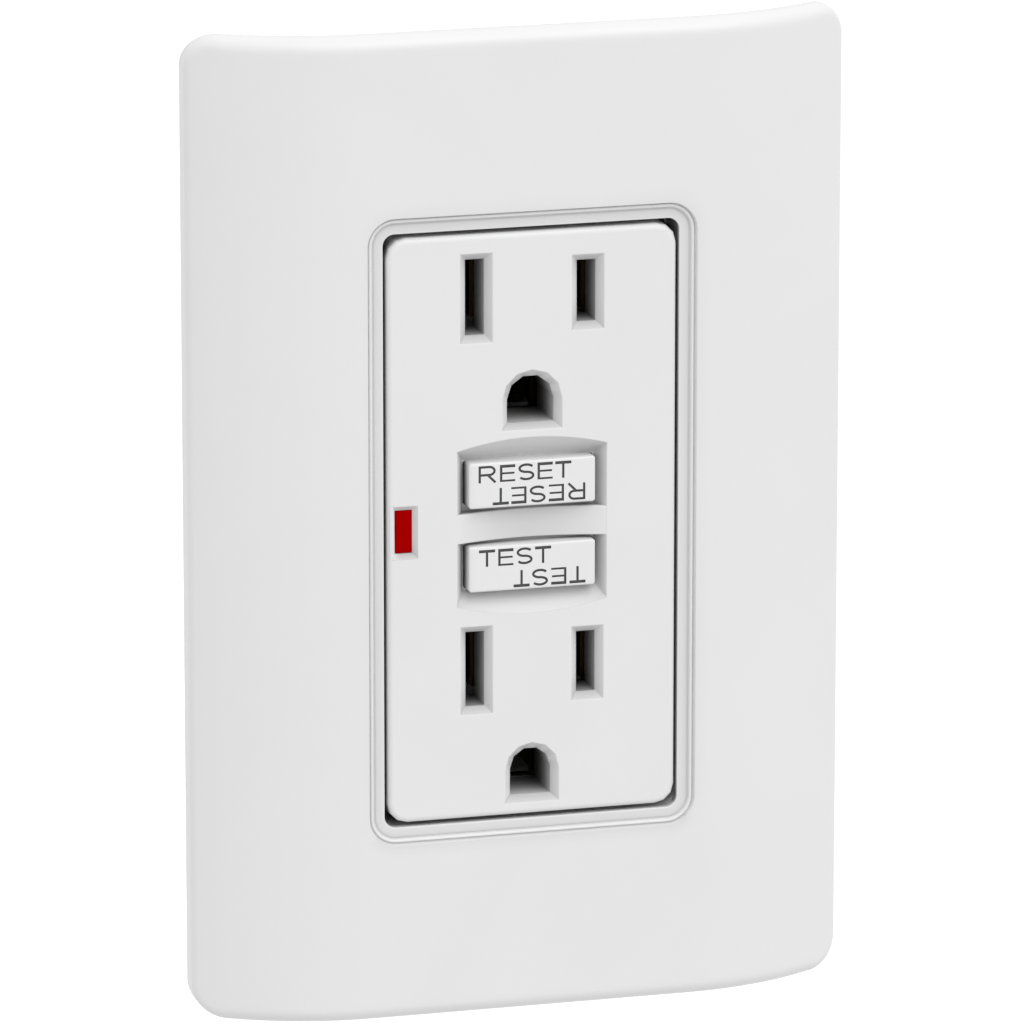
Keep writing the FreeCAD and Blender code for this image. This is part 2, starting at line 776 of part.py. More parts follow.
def center_frame():
    body = rounded_block(body_half_w, body_half_h, body_corner_r, (frame_front_y, frame_back_y))
    inner_w = body_half_w - frame_wall
    hollow = centred_box(0, inner_w, (frame_deck_y, frame_back_y), 0, body_half_h - frame_wall)
    blocks = [centred_box(x, post_half, (frame_deck_y, frame_back_y), z, post_half) for x, z in posts]
    body = fuse_all([body.cut(hollow)] + blocks)
    deep_y = (frame_front_y - run_gap, frame_back_y)
    tools = []
    for row in outlet_rows:
        for side in both_sides:
            half_w = clip_gap_half + leaf_thick + clip_window_gap
            tools.append(centred_box(side * blade_x, half_w, deep_y, row, clip_half_h + clip_window_gap))
    base_back = ground_base_y + ground_base_thick + run_gap
    for row in ground_rows:
        leaf_half = ground_leaf_x + leaf_thick + run_gap
        tools.append(centred_box(0, leaf_half, deep_y, row, ground_open_half_h + run_gap))
        base_half = ground_base_half_h + seat_gap
        tools.append(centred_box(0, ground_base_half_w + seat_gap, (0, base_back), row, base_half))
    tools.append(prism_y(pin_r + run_gap, 0, button_z, deep_y))
    tools.append(prism_y(spring_pocket_r, 0, button_z, (0, spring_pocket_y)))
    leaf_half = test_leaf_half_h + run_gap
    deep_x = (test_leaf_x[0] - run_gap, test_step_x)
    leaf_z = (-button_z - leaf_half, -button_z + leaf_half)
    tools.append(box(deep_x, (0, test_pocket_y), leaf_z))
    step_x = (test_step_x, test_leaf_x[1] + run_gap)
    tools.append(box(step_x, (0, test_leaf_y + test_leaf_thick + thread_gap), leaf_z))
    tools.append(centred_box(test_lead_x, lead_half + run_gap, deep_y, -button_z, lead_half + run_gap))
    tools.append(centred_box(lens_x, lens_half_w + seat_gap, deep_y, 0, lens_half_h + seat_gap))
    for sx, sz in corner_signs:
        notch = (sx * (terminal_x - notch_gap), sx * (body_half_w + frame_wall))
        notch_z = (sz * terminal_z - notch_half_h, sz * terminal_z + notch_half_h)
        tools.append(box(notch, (notch_front_y, frame_back_y + frame_wall), notch_z))
    tools += [prism_y(post_hole_r, x, z, deep_y) for x, z in posts]
    return body.cut(tools).removeSplitter()


def rear_housing():
    body = rounded_block(body_half_w, body_half_h, body_corner_r, (rear_front_y, rear_back_y))
    inside_back = rear_back_y - rear_wall
    inner_w = body_half_w - rear_wall
    hollow = centred_box(0, inner_w, (rear_front_y, inside_back), 0, body_half_h - rear_wall)
    blocks = [centred_box(x, post_half, (rear_front_y, inside_back), z, post_half) for x, z in posts]
    rest_y = (board_y + board_thick + seat_gap, inside_back)
    for sx, sz in corner_signs:
        blocks.append(centred_box(sx * standoff_x, standoff_half, rest_y, sz * standoff_z, standoff_half))
    head_y = (rear_back_y - housing_head_h - seat_gap, rear_back_y)
    tools = [prism_y(post_hole_r, x, z, (rear_front_y, rear_back_y)) for x, z in posts]
    tools += [prism_y(housing_head_r + run_gap, x, z, head_y) for x, z in posts]
    return fuse_all([body.cut(hollow)] + blocks).cut(tools).removeSplitter()


def housing_screws():
    head_y = rear_back_y - housing_head_h - seat_gap
    screws = []
    for x, z in posts:
        start = Vec(x, head_y, z)
        end = Vec(x, housing_screw_tip, z)
        screws.append(screw(housing_screw_r, housing_head_r, housing_head_h, start, end))
    return screws


def load_strip(side):
    # Two blade clips, the strip between them and the load terminal, bent from one sheet
    x = side * blade_x
    strip_x = (x - strip_half_w, x + strip_half_w)
    pieces = [box(strip_x, (strip_y, strip_back_y), (bridge_z[0], strip_top))]
    for row in outlet_rows:
        for edge in both_sides:
            near = x + edge * clip_gap_half
            far = x + edge * (clip_gap_half + leaf_thick)
            leaf_z = (row - clip_half_h, row + clip_half_h)
            pieces.append(box((near, far), (clip_front_y, strip_back_y), leaf_z))
        pieces.append(centred_box(x, clip_gap_half + leaf_thick, (strip_y, strip_back_y), row, clip_half_h))
    far_x = terminal_x + terminal_thick
    pieces.append(box((x, side * far_x), (strip_y, strip_back_y), bridge_z))
    pieces.append(terminal_tab(side, -1, strip_back_y))
    return fuse_all(pieces).cut(terminal_hole(side, -1))


def terminal_tab(side, end, back_y):
    x = (side * terminal_x, side * (terminal_x + terminal_thick))
    z = end * terminal_z
    return box(x, (terminal_front_y, back_y), (z - terminal_half_h, z + terminal_half_h))


def terminal_hole(side, end):
    z = end * terminal_z
    start = Vec(side * (terminal_x - terminal_thick), terminal_screw_y, z)
    return prism(terminal_screw_r + thread_gap, start, Vec(side * terminal_head_x, terminal_screw_y, z))


def line_terminal(side):
    # Side tab, arm to the middle and the leg that goes through the current transformers
    arm_back = line_arm_y + strip_thick
    tab = terminal_tab(side, 1, arm_back)
    arm = box((side * line_leg_x[0], side * terminal_x), (line_arm_y, arm_back), line_arm_z)
    leg = box((side * line_leg_x[0], side * line_leg_x[1]), (line_arm_y, component_base_y), line_leg_z)
    return fuse_all([tab, arm, leg]).cut(terminal_hole(side, 1))


def terminal_screws(side):
    screws = []
    for end in both_sides:
        z = end * terminal_z
        start = Vec(side * terminal_head_x, terminal_screw_y, z)
        end_x = side * (terminal_x - terminal_thick / 2)
        screws.append(
            screw(terminal_screw_r, terminal_head_r, terminal_head_h, start, Vec(end_x, terminal_screw_y, z))
        )
    return screws


def pressure_plates(side):
    plates = []
    clamp_back = terminal_head_x - run_gap
    for end in both_sides:
        z = end * terminal_z
        y = (terminal_screw_y - clamp_half_y, terminal_screw_y + clamp_half_y)
        x = (side * (clamp_back - clamp_thick), side * clamp_back)
        plate = box(x, y, (z - clamp_half_z, z + clamp_half_z))
        hole = prism(
            terminal_screw_r + seat_gap,
            Vec(side * terminal_x, terminal_screw_y, z),
            Vec(side * terminal_head_x, terminal_screw_y, z),
        )
        plates.append(plate.cut(hole))
    return plates


def ground_screw():
    start = Vec(ground_tab_x - terminal_thick, ground_screw_y, ground_screw_z)
    end = Vec(ground_tab_x + ground_screw_reach, ground_screw_y, ground_screw_z)
    return screw(terminal_screw_r, terminal_head_r, terminal_head_h, start, end)


def ground_contact(z):
    # Sheet staked to the back of the strap, with two leaves bent back round the pin
    back = ground_base_y + ground_base_thick
    base = centred_box(0, ground_base_half_w, (ground_base_y, back), z, ground_base_half_h)
    base = base.cut(centred_box(0, ground_leaf_x, (ground_base_y, back), z, ground_open_half_h))
    leaves = []
    for side in both_sides:
        x = (side * ground_leaf_x, side * (ground_leaf_x + leaf_thick))
        leaf_z = (z - ground_leaf_half_h, z + ground_leaf_half_h)
        leaves.append(box(x, (ground_base_y, ground_leaf_end), leaf_z))
    return fuse_all([base] + leaves)


def circuit_board():
    y = (board_y, board_y + board_thick)
    board = centred_box(0, body_half_w - rear_wall - board_gap, y, 0, body_half_h - rear_wall - board_gap)
    clear = post_half + run_gap
    corners = []
    for sx, sz in corner_signs:
        clear_x = (sx * (post_x - clear), sx * (post_x + 2 * clear))
        clear_z = (sz * (post_z - clear), sz * (post_z + 2 * clear))
        corners.append(box(clear_x, y, clear_z))
    return board.cut(corners)


def test_leaf():
    y = (test_leaf_y, test_leaf_y + test_leaf_thick)
    z = (-button_z - test_leaf_half_h, -button_z + test_leaf_half_h)
    return box(test_leaf_x, y, z)


def test_resistor():
    # Body with its leads: one ends under the leaf, the other turns aside to the board
    z = -button_z
    turn_y = (test_turn_y - lead_half, test_turn_y + lead_half)
    across_x = (test_rear_x - lead_half, test_lead_x + lead_half)
    pieces = [
        prism_y(test_body_r, test_lead_x, z, test_body_y),
        centred_box(test_lead_x, lead_half, (test_lead_front, turn_y[1]), z, lead_half),
        box(across_x, turn_y, (z - lead_half, z + lead_half)),
        centred_box(test_rear_x, lead_half, (turn_y[0], component_base_y), z, lead_half),
    ]
    return fuse_all(pieces)


def fixed_contacts():
    y = (strip_back_y, strip_back_y + contact_h)
    return [prism_y(contact_r, side * blade_x, contact_z, y) for side in both_sides]


def moving_contacts():
    contacts = []
    for side in both_sides:
        x = side * blade_x
        contacts.append(prism_y(contact_r, x, contact_z, (arm_y - contact_h, arm_y - thread_gap)))
    return contacts


def contact_arm(side):
    x = side * blade_x
    leaf = box((x - arm_half_w, x + arm_half_w), (arm_y, arm_y + arm_thick), arm_z)
    outer = blade_x + arm_half_w
    post_x_range = (side * (outer - arm_post), side * outer)
    post = box(post_x_range, (arm_y, component_base_y), (arm_z[1] - arm_post, arm_z[1]))
    return fuse_all([leaf, post])


def latch_block():
    # Carriage: a core round the reset pin and a wing under each contact arm
    middle_z = (carriage_z[0] + carriage_z[1]) / 2
    half_z = (carriage_z[1] - carriage_z[0]) / 2
    wings = centred_box(0, carriage_half_w, (carriage_front_y, carriage_wing_y), middle_z, half_z)
    core = centred_box(0, carriage_core_half_w, (carriage_front_y, carriage_back_y), middle_z, half_z)
    slot_y = (latch_y - seat_gap, latch_y + latch_thick + seat_gap)
    tools = [
        prism_y(pin_r + seat_gap, 0, button_z, (carriage_front_y, slot_y[0])),
        prism_y(latch_hole_r, 0, button_z, (slot_y[0], carriage_back_y)),
        centred_box(0, latch_half_w + seat_gap, slot_y, middle_z, 2 * half_z),
    ]
    return fuse_all([wings, core]).cut(tools)


def latch_plate():
    # Keyhole plate: its narrow end holds the pin's neck, and its wide end lets the tip through
    y = (latch_y, latch_y + latch_thick)
    plate = box((-latch_half_w, latch_half_w), y, latch_z)
    foot_z = (latch_z[0], latch_z[0] + latch_foot_thick)
    foot = box((-latch_half_w, latch_half_w), (latch_y, latch_foot_y), foot_z)
    narrow_r = pin_neck_r + seat_gap
    holes = [
        prism_y(latch_hole_r, 0, button_z - latch_travel, (0, latch_foot_y)),
        prism_y(narrow_r, 0, button_z, (0, latch_foot_y)),
    ]
    return fuse_all([plate, foot]).cut(holes)


def latch_spring():
    # Folded strip between the latch plate's foot and the carriage
    low = latch_z[0] + latch_foot_thick + thread_gap
    high = carriage_z[0] - thread_gap
    y = (latch_y + latch_thick + seat_gap, latch_foot_y)
    fold_y = (y[1] - latch_spring_thick, y[1])
    x = (-latch_spring_half_w, latch_spring_half_w)
    strips = [
        box(x, y, (low, low + latch_spring_thick)),
        box(x, y, (high - latch_spring_thick, high)),
        box(x, fold_y, (low, high)),
    ]
    return fuse_all(strips)


def latch_guide():
    inner = carriage_half_w + run_gap
    base = box((-inner - guide_wall, inner + guide_wall), (guide_base_y, component_base_y), carriage_z)
    walls = [
        box((side * inner, side * (inner + guide_wall)), (guide_front_y, component_base_y), carriage_z)
        for side in both_sides
    ]
    return fuse_all([base] + walls)


def prism_z(radius, z):
    return prism(radius, Vec(0, coil_y, z[0]), Vec(0, coil_y, z[1]))


def square_z(half, z):
    return box((-half, half), (coil_y - half, coil_y + half), z)


def solenoid_bobbin():
    low = (coil_z[0], coil_z[0] + bobbin_flange)
    high = (coil_z[1] - bobbin_flange, coil_z[1])
    tube = prism_z(bobbin_tube_r, coil_z)
    spool = fuse_all([tube, square_z(bobbin_half, low), square_z(bobbin_half, high)])
    return spool.cut(prism_z(bobbin_bore_r, coil_z))


def solenoid_coil():
    z = (coil_z[0] + bobbin_flange + thread_gap, coil_z[1] - bobbin_flange - thread_gap)
    return prism_z(coil_r, z).cut(prism_z(bobbin_tube_r + thread_gap, z))


def solenoid_frame():
    # Steel bracket: a plate at each end of the coil and one side between them
    low = (coil_z[0] - seat_gap - coil_frame_thick, coil_z[0] - seat_gap)
    high = (coil_z[1] + seat_gap, coil_z[1] + seat_gap + coil_frame_thick)
    side_x = (bobbin_half + run_gap, bobbin_half + run_gap + coil_frame_thick)
    y = (coil_y - bobbin_half, coil_y + bobbin_half)
    plates = [box((-bobbin_half, side_x[1]), y, z) for z in (low, high)]
    side = box(side_x, y, (low[0], high[1]))
    holes = [prism_z(plunger_tail_r + run_gap, low), prism_z(plunger_tip_r + run_gap, high)]
    return fuse_all(plates + [side]).cut(holes)


def plunger():
    tip_end = latch_z[0] - seat_gap
    pieces = [
        prism_z(plunger_r, plunger_z),
        prism_z(plunger_tip_r, (plunger_z[1], tip_end)),
        prism_z(plunger_tail_r, (plunger_head_z[0], plunger_z[0])),
        prism_z(plunger_head_r, plunger_head_z),
    ]
    return fuse_all(pieces)


def plunger_spring():
    bracket_z = coil_z[0] - seat_gap - coil_frame_thick
    return coil_spring(
        plunger_spring_mean_r,
        plunger_spring_wire_r,
        plunger_spring_turns,
        Vec(0, coil_y, plunger_head_z[1] + thread_gap),
        Vec(0, coil_y, bracket_z - thread_gap),
    )


def transformer_housing():
    # Cup with a tube in its middle for the line conductors
    cup = prism_y(ring_outer_r, 0, ring_z, (ring_front_y, ring_back_y))
    trough_y = (ring_front_y, ring_back_y - ring_wall)
    trough = prism_ring_y(ring_bore_r + ring_wall, ring_outer_r - ring_wall, 0, ring_z, trough_y)
    return cup.cut([trough, prism_y(ring_bore_r, 0, ring_z, (ring_front_y, ring_back_y))])


# The core's bore comes this far inside its corners, at the edges of a loop of wire
winding_bow = winding_half_w * math.tan(math.pi / hidden_sides) + thread_gap


def core_place(number):
    start = ring_front_y + winding_thick + seat_gap + number * core_pitch
    return start, start + core_thick


def transformer_core(number):
    return prism_ring_y(core_r[0], core_r[1], 0, ring_z, core_place(number))


def transformer_winding(number):
    # Bundles of wire, evenly spaced, each looped once round the core's section
    start, end = core_place(number)
    loops = []
    for step in range(winding_loops):
        outer = box(
            (core_r[0] - winding_thick, core_r[1] + winding_thick),
            (start - winding_thick, end + winding_thick),
            (-winding_half_w, winding_half_w),
        )
        inner = box(
            (core_r[0] - winding_bow, core_r[1] + thread_gap),
            (start - thread_gap, end + thread_gap),
            (-2 * winding_half_w, 2 * winding_half_w),
        )
        loop = outer.cut(inner)
        loop.rotate(Vec(0, 0, 0), Vec(0, 1, 0), step * 360.0 / winding_loops)
        loop.translate(Vec(0, 0, ring_z))
        loops.append(loop)
    return loops


def lead(x, z, start_y):
    return centred_box(x, lead_half, (start_y, component_base_y), z, lead_half)


def varistor():
    start = Vec(varistor_x - varistor_half, varistor_y, varistor_z)
    end = Vec(varistor_x + varistor_half, varistor_y, varistor_z)
    leads = [lead(varistor_x, varistor_z + side * 2 * lead_spread, varistor_y) for side in both_sides]
    return fuse_all([prism(varistor_r, start, end)] + leads)


def capacitors():
    y = (capacitor_front_y, component_base_y)
    return [prism_y(capacitor_r, capacitor_x, z, y) for z in capacitor_zs]


def control_chip():
    y = (component_base_y - chip_thick, component_base_y)
    return centred_box(chip_x, chip_half_x, y, chip_z, chip_half_z)


def silicon_switch():
    body = prism_y(switch_r, switch_x, switch_z, switch_y)
    flat = centred_box(switch_x + switch_flat + switch_r, switch_r, switch_y, switch_z, 2 * switch_r)
    leads = [lead(switch_x, switch_z + step * lead_spread, switch_y[0] + switch_r) for step in (-1, 0, 1)]
    return fuse_all([body.cut(flat)] + leads)


def indicator_led():
    front_y = lens_back_y + run_gap
    leads = [lead(lens_x, side * lead_spread / 2, front_y + led_r) for side in both_sides]
    return fuse_all([prism_y(led_r, lens_x, 0, (front_y, front_y + led_length))] + leads)


def group(shape):
    return Part.Compound(shape) if isinstance(shape, list) else shape


names_and_shapes = [
    ("faceplate", faceplate()),
    ("mounting_plate", mounting_plate()),
    ("plate_screws", plate_screws()),
    ("yoke_strap", yoke_strap()),
    ("box_screws", box_screws()),
    ("screw_retainers", screw_retainers()),
    ("face_cover", face_cover()),
    ("indicator_lens", indicator_lens()),
    ("reset_button", reset_button()),
    ("test_button", test_button()),
    ("reset_pin", reset_pin()),
    ("reset_spring", reset_spring()),
    ("center_frame", center_frame()),
    ("rear_housing", rear_housing()),
    ("housing_screws", housing_screws()),
    ("neutral_load_strip", load_strip(-1)),
    ("hot_load_strip", load_strip(1)),
    ("neutral_line_terminal", line_terminal(-1)),
    ("hot_line_terminal", line_terminal(1)),
    ("neutral_terminal_screws", terminal_screws(-1)),
    ("hot_terminal_screws", terminal_screws(1)),
    ("neutral_pressure_plates", pressure_plates(-1)),
    ("hot_pressure_plates", pressure_plates(1)),
    ("ground_screw", ground_screw()),
    ("upper_ground_contact", ground_contact(ground_rows[0])),
    ("lower_ground_contact", ground_contact(ground_rows[1])),
    ("circuit_board", circuit_board()),
    ("test_leaf", test_leaf()),
    ("test_resistor", test_resistor()),
    ("fixed_contacts", fixed_contacts()),
    ("moving_contacts", moving_contacts()),
    ("neutral_contact_arm", contact_arm(-1)),
    ("hot_contact_arm", contact_arm(1)),
    ("latch_block", latch_block()),
    ("latch_plate", latch_plate()),
    ("latch_spring", latch_spring()),
    ("latch_guide", latch_guide()),
    ("solenoid_bobbin", solenoid_bobbin()),
    ("solenoid_coil", solenoid_coil()),
    ("solenoid_frame", solenoid_frame()),
    ("plunger", plunger()),
    ("plunger_spring", plunger_spring()),
    ("transformer_housing", transformer_housing()),
    ("neutral_core", transformer_core(0)),
    ("neutral_winding", transformer_winding(0)),
    ("sense_core", transformer_core(1)),
    ("sense_winding", transformer_winding(1)),
    ("varistor", varistor()),
    ("capacitors", capacitors()),
    ("control_chip", control_chip()),
    ("silicon_switch", silicon_switch()),
    ("indicator_led", indicator_led()),
]

for name, made in names_and_shapes:
    shape = group(made)
    print(name, "solids", len(shape.Solids), "valid", shape.isValid(), "volume", round(shape.Volume, 1))
    shape.exportStep("parts/" + name + ".step")
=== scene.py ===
import json
import bpy
import bmesh
import numpy as np
from mathutils import Matrix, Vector
from mathutils.geometry import delaunay_2d_cdt


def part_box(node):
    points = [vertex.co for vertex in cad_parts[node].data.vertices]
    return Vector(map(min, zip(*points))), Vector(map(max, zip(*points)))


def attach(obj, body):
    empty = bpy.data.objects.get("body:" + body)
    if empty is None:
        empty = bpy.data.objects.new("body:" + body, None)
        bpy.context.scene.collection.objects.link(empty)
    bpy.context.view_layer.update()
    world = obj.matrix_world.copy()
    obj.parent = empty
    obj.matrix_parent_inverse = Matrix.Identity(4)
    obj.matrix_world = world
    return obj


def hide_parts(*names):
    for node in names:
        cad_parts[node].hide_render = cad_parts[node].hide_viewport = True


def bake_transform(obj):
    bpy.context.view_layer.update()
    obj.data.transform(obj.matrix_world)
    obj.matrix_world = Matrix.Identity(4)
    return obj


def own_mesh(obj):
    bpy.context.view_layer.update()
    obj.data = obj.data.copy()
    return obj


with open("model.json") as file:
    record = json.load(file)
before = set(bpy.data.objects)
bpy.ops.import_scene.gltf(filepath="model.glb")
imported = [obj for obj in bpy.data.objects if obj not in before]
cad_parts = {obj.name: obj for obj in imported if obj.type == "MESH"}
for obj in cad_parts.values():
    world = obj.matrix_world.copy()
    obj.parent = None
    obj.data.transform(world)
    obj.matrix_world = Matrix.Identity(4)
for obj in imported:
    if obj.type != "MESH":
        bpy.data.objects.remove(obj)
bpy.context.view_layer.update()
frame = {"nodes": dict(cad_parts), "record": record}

# Lengths in the dictionaries are millimetres: x to the right, y into the wall, z up
millimetre = 0.001
scene = bpy.context.scene
nodes = frame["nodes"]
slotOfNode = {entry["node"]: entry["material_slot"] for entry in frame["record"]["subparts"]}


def gridQuads(rows, columns, closeRows):
    # Cell (i, j) of a grid of points joins (i, j), (i, j+1), (i+1, j+1) and (i+1, j)
    i = np.arange(rows if closeRows else rows - 1)[:, None]
    j = np.arange(columns)[None, :]
    nextI, nextJ = (i + 1) % rows, (j + 1) % columns
    cells = np.stack(np.broadcast_arrays(i * columns + j, i * columns + nextJ,
                                         nextI * columns + nextJ, nextI * columns + j), -1)
    return cells.reshape(-1, 4)


class Skin:
    # Gathers grids and flat faces of one piece, in millimetres, with a material number for each face
    # and the painted shade of each point: 0 in the open, towards 1 down in a gap, where it darkens the colour
    def __init__(self):
        self.points, self.faces, self.paint, self.shade, self.count = [], [], [], [], 0

    def put(self, points, faces, shade=0.0, paint=0):
        points = np.asarray(points, float).reshape(-1, 3)
        self.points.append(points)
        self.shade.append(np.broadcast_to(np.ravel(shade), len(points)))
        self.faces.extend(map(tuple, (np.asarray(faces) + self.count).tolist()))
        self.paint.extend([paint] * len(faces))
        self.count += len(points)

    def grid(self, rings, shade=0.0, closeRows=False):
        # rings is rows x columns x 3, each row a closed ring; shade is one number, one for each row,
        # or rows x columns
        rings, shade = np.asarray(rings, float), np.asarray(shade, float)
        shade = np.broadcast_to(shade[:, None] if shade.ndim == 1 else shade, rings.shape[:2])
        self.put(rings, gridQuads(*rings.shape[:2], closeRows), shade)

    def cap(self, ring, shade=0.0):
        self.put(ring, [list(range(len(ring)))], shade)

    def closed(self, rings):
        # A stack of rings with a flat cap at each end
        self.grid(rings)
        self.cap(rings[0])
        self.cap(rings[-1])


def addObject(name, data):
    added = bpy.data.objects.new(name, data)
    scene.collection.objects.link(added)
    return added


def cleanMesh(mesh, flatten=False, cuts=(), direction=(0, 0, 1)):
    # Merges doubles, joins flat regions and cuts across where asked, and turns the faces outwards
    tidy = bmesh.new()
    tidy.from_mesh(mesh)
    bmesh.ops.remove_doubles(tidy, verts=tidy.verts, dist=2e-6)
    if flatten:
        bmesh.ops.dissolve_limit(tidy, angle_limit=np.radians(0.5), verts=tidy.verts, edges=tidy.edges)
    for at in cuts:
        bmesh.ops.bisect_plane(tidy, geom=tidy.verts[:] + tidy.edges[:] + tidy.faces[:],
                               plane_co=np.multiply(direction, at * millimetre), plane_no=direction)
    bmesh.ops.recalc_face_normals(tidy, faces=tidy.faces)
    tidy.to_mesh(mesh)
    tidy.free()


def finishPiece(name, skin, body, slotName, stands=(), smooth=32, inks=()):
    # Edges that turn by more than smooth degrees stay sharp; faces painted 1 take the first of the inks
    mesh = bpy.data.meshes.new(name)
    mesh.from_pydata((np.concatenate(skin.points) * millimetre).tolist(), [], skin.faces)
    mesh.polygons.foreach_set("material_index", skin.paint)
    mesh.attributes.new("shade", "FLOAT", "POINT").data.foreach_set("value", np.concatenate(skin.shade))
    cleanMesh(mesh)
    mesh.shade_smooth()
    mesh.set_sharp_from_angle(angle=np.radians(smooth))
    piece = addObject(name, mesh)
    for material in (finishes[slotName], *inks):
        mesh.materials.append(material)
    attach(piece, body)
    if stands:
        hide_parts(*stands)
    return piece


def cleanCopy(node, cuts=(), direction=(0, 0, 1)):
    # Copy of a solid with its flat regions joined; cross cuts let a thin one bend
    mesh = nodes[node].data.copy()
    mesh.name = node + ".soft"
    cleanMesh(mesh, True, cuts, direction)
    piece = addObject(node + ".soft", mesh)
    mesh.materials.clear()
    mesh.materials.append(finishes[slotOfNode[node]])
    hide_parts(node)
    return piece


def softCopy(node, width, sharpest=35):
    # Copy of a solid with its edges rounded over where they turn by more than sharpest degrees
    piece = cleanCopy(node)
    piece.data.shade_smooth()
    rounding = piece.modifiers.new("rounding", "BEVEL")
    rounding.width, rounding.segments = width * millimetre, 2
    rounding.limit_method, rounding.angle_limit = "ANGLE", np.radians(sharpest)
    rounding.harden_normals = True
    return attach(piece, "device")


def roundedLoop(halfW, halfH, radius, arc, across, up, cx=0.0, cz=0.0):
    # Rounded rectangle: quarter circles c + r (cos a, sin a) joined by straight runs, anticlockwise;
    # gives the points and their outward directions
    signs = ((1, 1), (-1, 1), (-1, -1), (1, -1))
    points, outward = [], []
    for corner, (sx, sz) in enumerate(signs):
        angle = (corner + np.linspace(0, 1, arc + 1)) * np.pi / 2
        away = np.c_[np.cos(angle), np.sin(angle)]
        middle = np.array([sx * (halfW - radius), sz * (halfH - radius)])
        bend = middle + radius * away
        nx, nz = signs[(corner + 1) % 4]
        nextStart = np.array([nx * (halfW - radius), nz * (halfH - radius)]) + radius * away[-1]
        share = np.linspace(0, 1, (up if corner % 2 else across) + 1)[1:-1, None]
        points += [bend, bend[-1] * (1 - share) + nextStart * share]
        outward += [away, np.repeat(away[-1:], len(share), 0)]
    return np.concatenate(points) + (cx, cz), np.concatenate(outward)


def lift(loop, y):
    # A flat loop of (x, z) at depth y
    return np.c_[loop[:, 0], np.broadcast_to(y, len(loop)), loop[:, 1]]


def inside(points, loop):
    # Even-odd rule: how many sides of the loop a ray along +x from each point crosses
    px, pz = points[:, 0:1], points[:, 1:2]
    starts, ends = loop, np.roll(loop, -1, 0)
    (x0, z0), (x1, z1) = starts.T, ends.T
    level = (z0 > pz) != (z1 > pz)
    rise = np.where(z1 == z0, 1, z1 - z0)
    return ((level & (px < x0 + (pz - z0) * (x1 - x0) / rise)).sum(1) % 2) == 1


def triangulate(loops):
    # Delaunay triangles inside the first loop, with every loop's sides kept as edges
    edges, start = [], 0
    for loop in loops:
        number = np.arange(len(loop))
        edges.append(np.c_[number, np.roll(number, -1)] + start)
        start += len(loop)
    found = delaunay_2d_cdt(np.concatenate(loops).tolist(), np.concatenate(edges).tolist(), [], 1, 1e-5)
    return np.array([tuple(p) for p in found[0]]), np.array(found[2])


def flatWithHoles(skin, outline, holes, y, shade=lambda points: 0.0):
    # Flat face at depth y between an outline and its holes; shade gives the points' shade from their (x, z)
    points, triangles = triangulate([outline] + holes)
    middle = points[triangles].mean(1)
    keep = ~np.any([inside(middle, hole) for hole in holes], axis=0)
    skin.put(lift(points, y), triangles[keep], shade(points))


def engraved(skin, outline, marks, depthY, y, ink=1, place=lambda points: points):
    # Flat face at depth y that sinks to depthY, with straight sides, wherever a mark's loop covers it;
    # place carries its points to where they belong
    points, triangles = triangulate([outline] + marks)
    middle = points[triangles].mean(1)
    low = np.any([inside(middle, mark) for mark in marks], axis=0)
    sunk = triangles[low]
    count = len(points)
    both = place(np.concatenate([lift(points, y), lift(points, depthY)]))
    rim = np.concatenate([sunk[:, [0, 1]], sunk[:, [1, 2]], sunk[:, [2, 0]]])
    rim = rim[~np.isin(rim[:, 0] * count + rim[:, 1], rim[:, 1] * count + rim[:, 0])]
    skin.put(both, triangles[~low])
    skin.put(both, sunk + count, paint=ink)
    skin.put(both, np.c_[rim, rim[:, ::-1] + count], paint=ink)


def quarterTurn(count):
    # 1 - cos a and 1 - sin a from 0 to a right angle
    angle = np.linspace(0, np.pi / 2, count)
    return 1 - np.cos(angle), 1 - np.sin(angle)


def softBlock(skin, lowest, highest, edge, steps=3):
    # Box whose edges along y are quarter circles and whose ends round over by the same radius
    low, high = np.array(lowest, float), np.array(highest, float)
    half, middle = (high - low) / 2, (high + low) / 2
    edge = min(edge, *(half * 0.8))
    loop, away = roundedLoop(half[0], half[2], edge, steps, 1, 1, middle[0], middle[2])
    out, rise = quarterTurn(steps + 1)
    inset = np.r_[edge * rise, edge * out]
    depth = np.r_[low[1] + edge * out, high[1] - edge * rise]
    skin.closed([lift(loop - away * i, y) for i, y in zip(inset, depth)])


def basisFor(direction):
    # Two directions square to a line along +-x, +-y or +-z
    line = np.array(direction, float)
    side = np.array([0.0, 0, 1]) if abs(line[2]) < 0.5 else np.array([1.0, 0, 0])
    return side, np.cross(line, side), line


def unitRing(side, other, sides):
    # Points cos a s + sin a t
    angle = np.arange(sides) * 2 * np.pi / sides
    return np.cos(angle)[:, None] * side + np.sin(angle)[:, None] * other


def lathe(skin, origin, direction, profile, sides):
    # Profile (radius, height) turned round a line: origin + r (cos a s + sin a t) + h d
    side, other, line = basisFor(direction)
    radius, height = np.array(profile, float).T[..., None, None]
    skin.closed(np.array(origin, float) + radius * unitRing(side, other, sides) + height * line)


thread = dict(pitch=0.79, depth=0.22, taper=0.8, sides=24, perTurn=8)


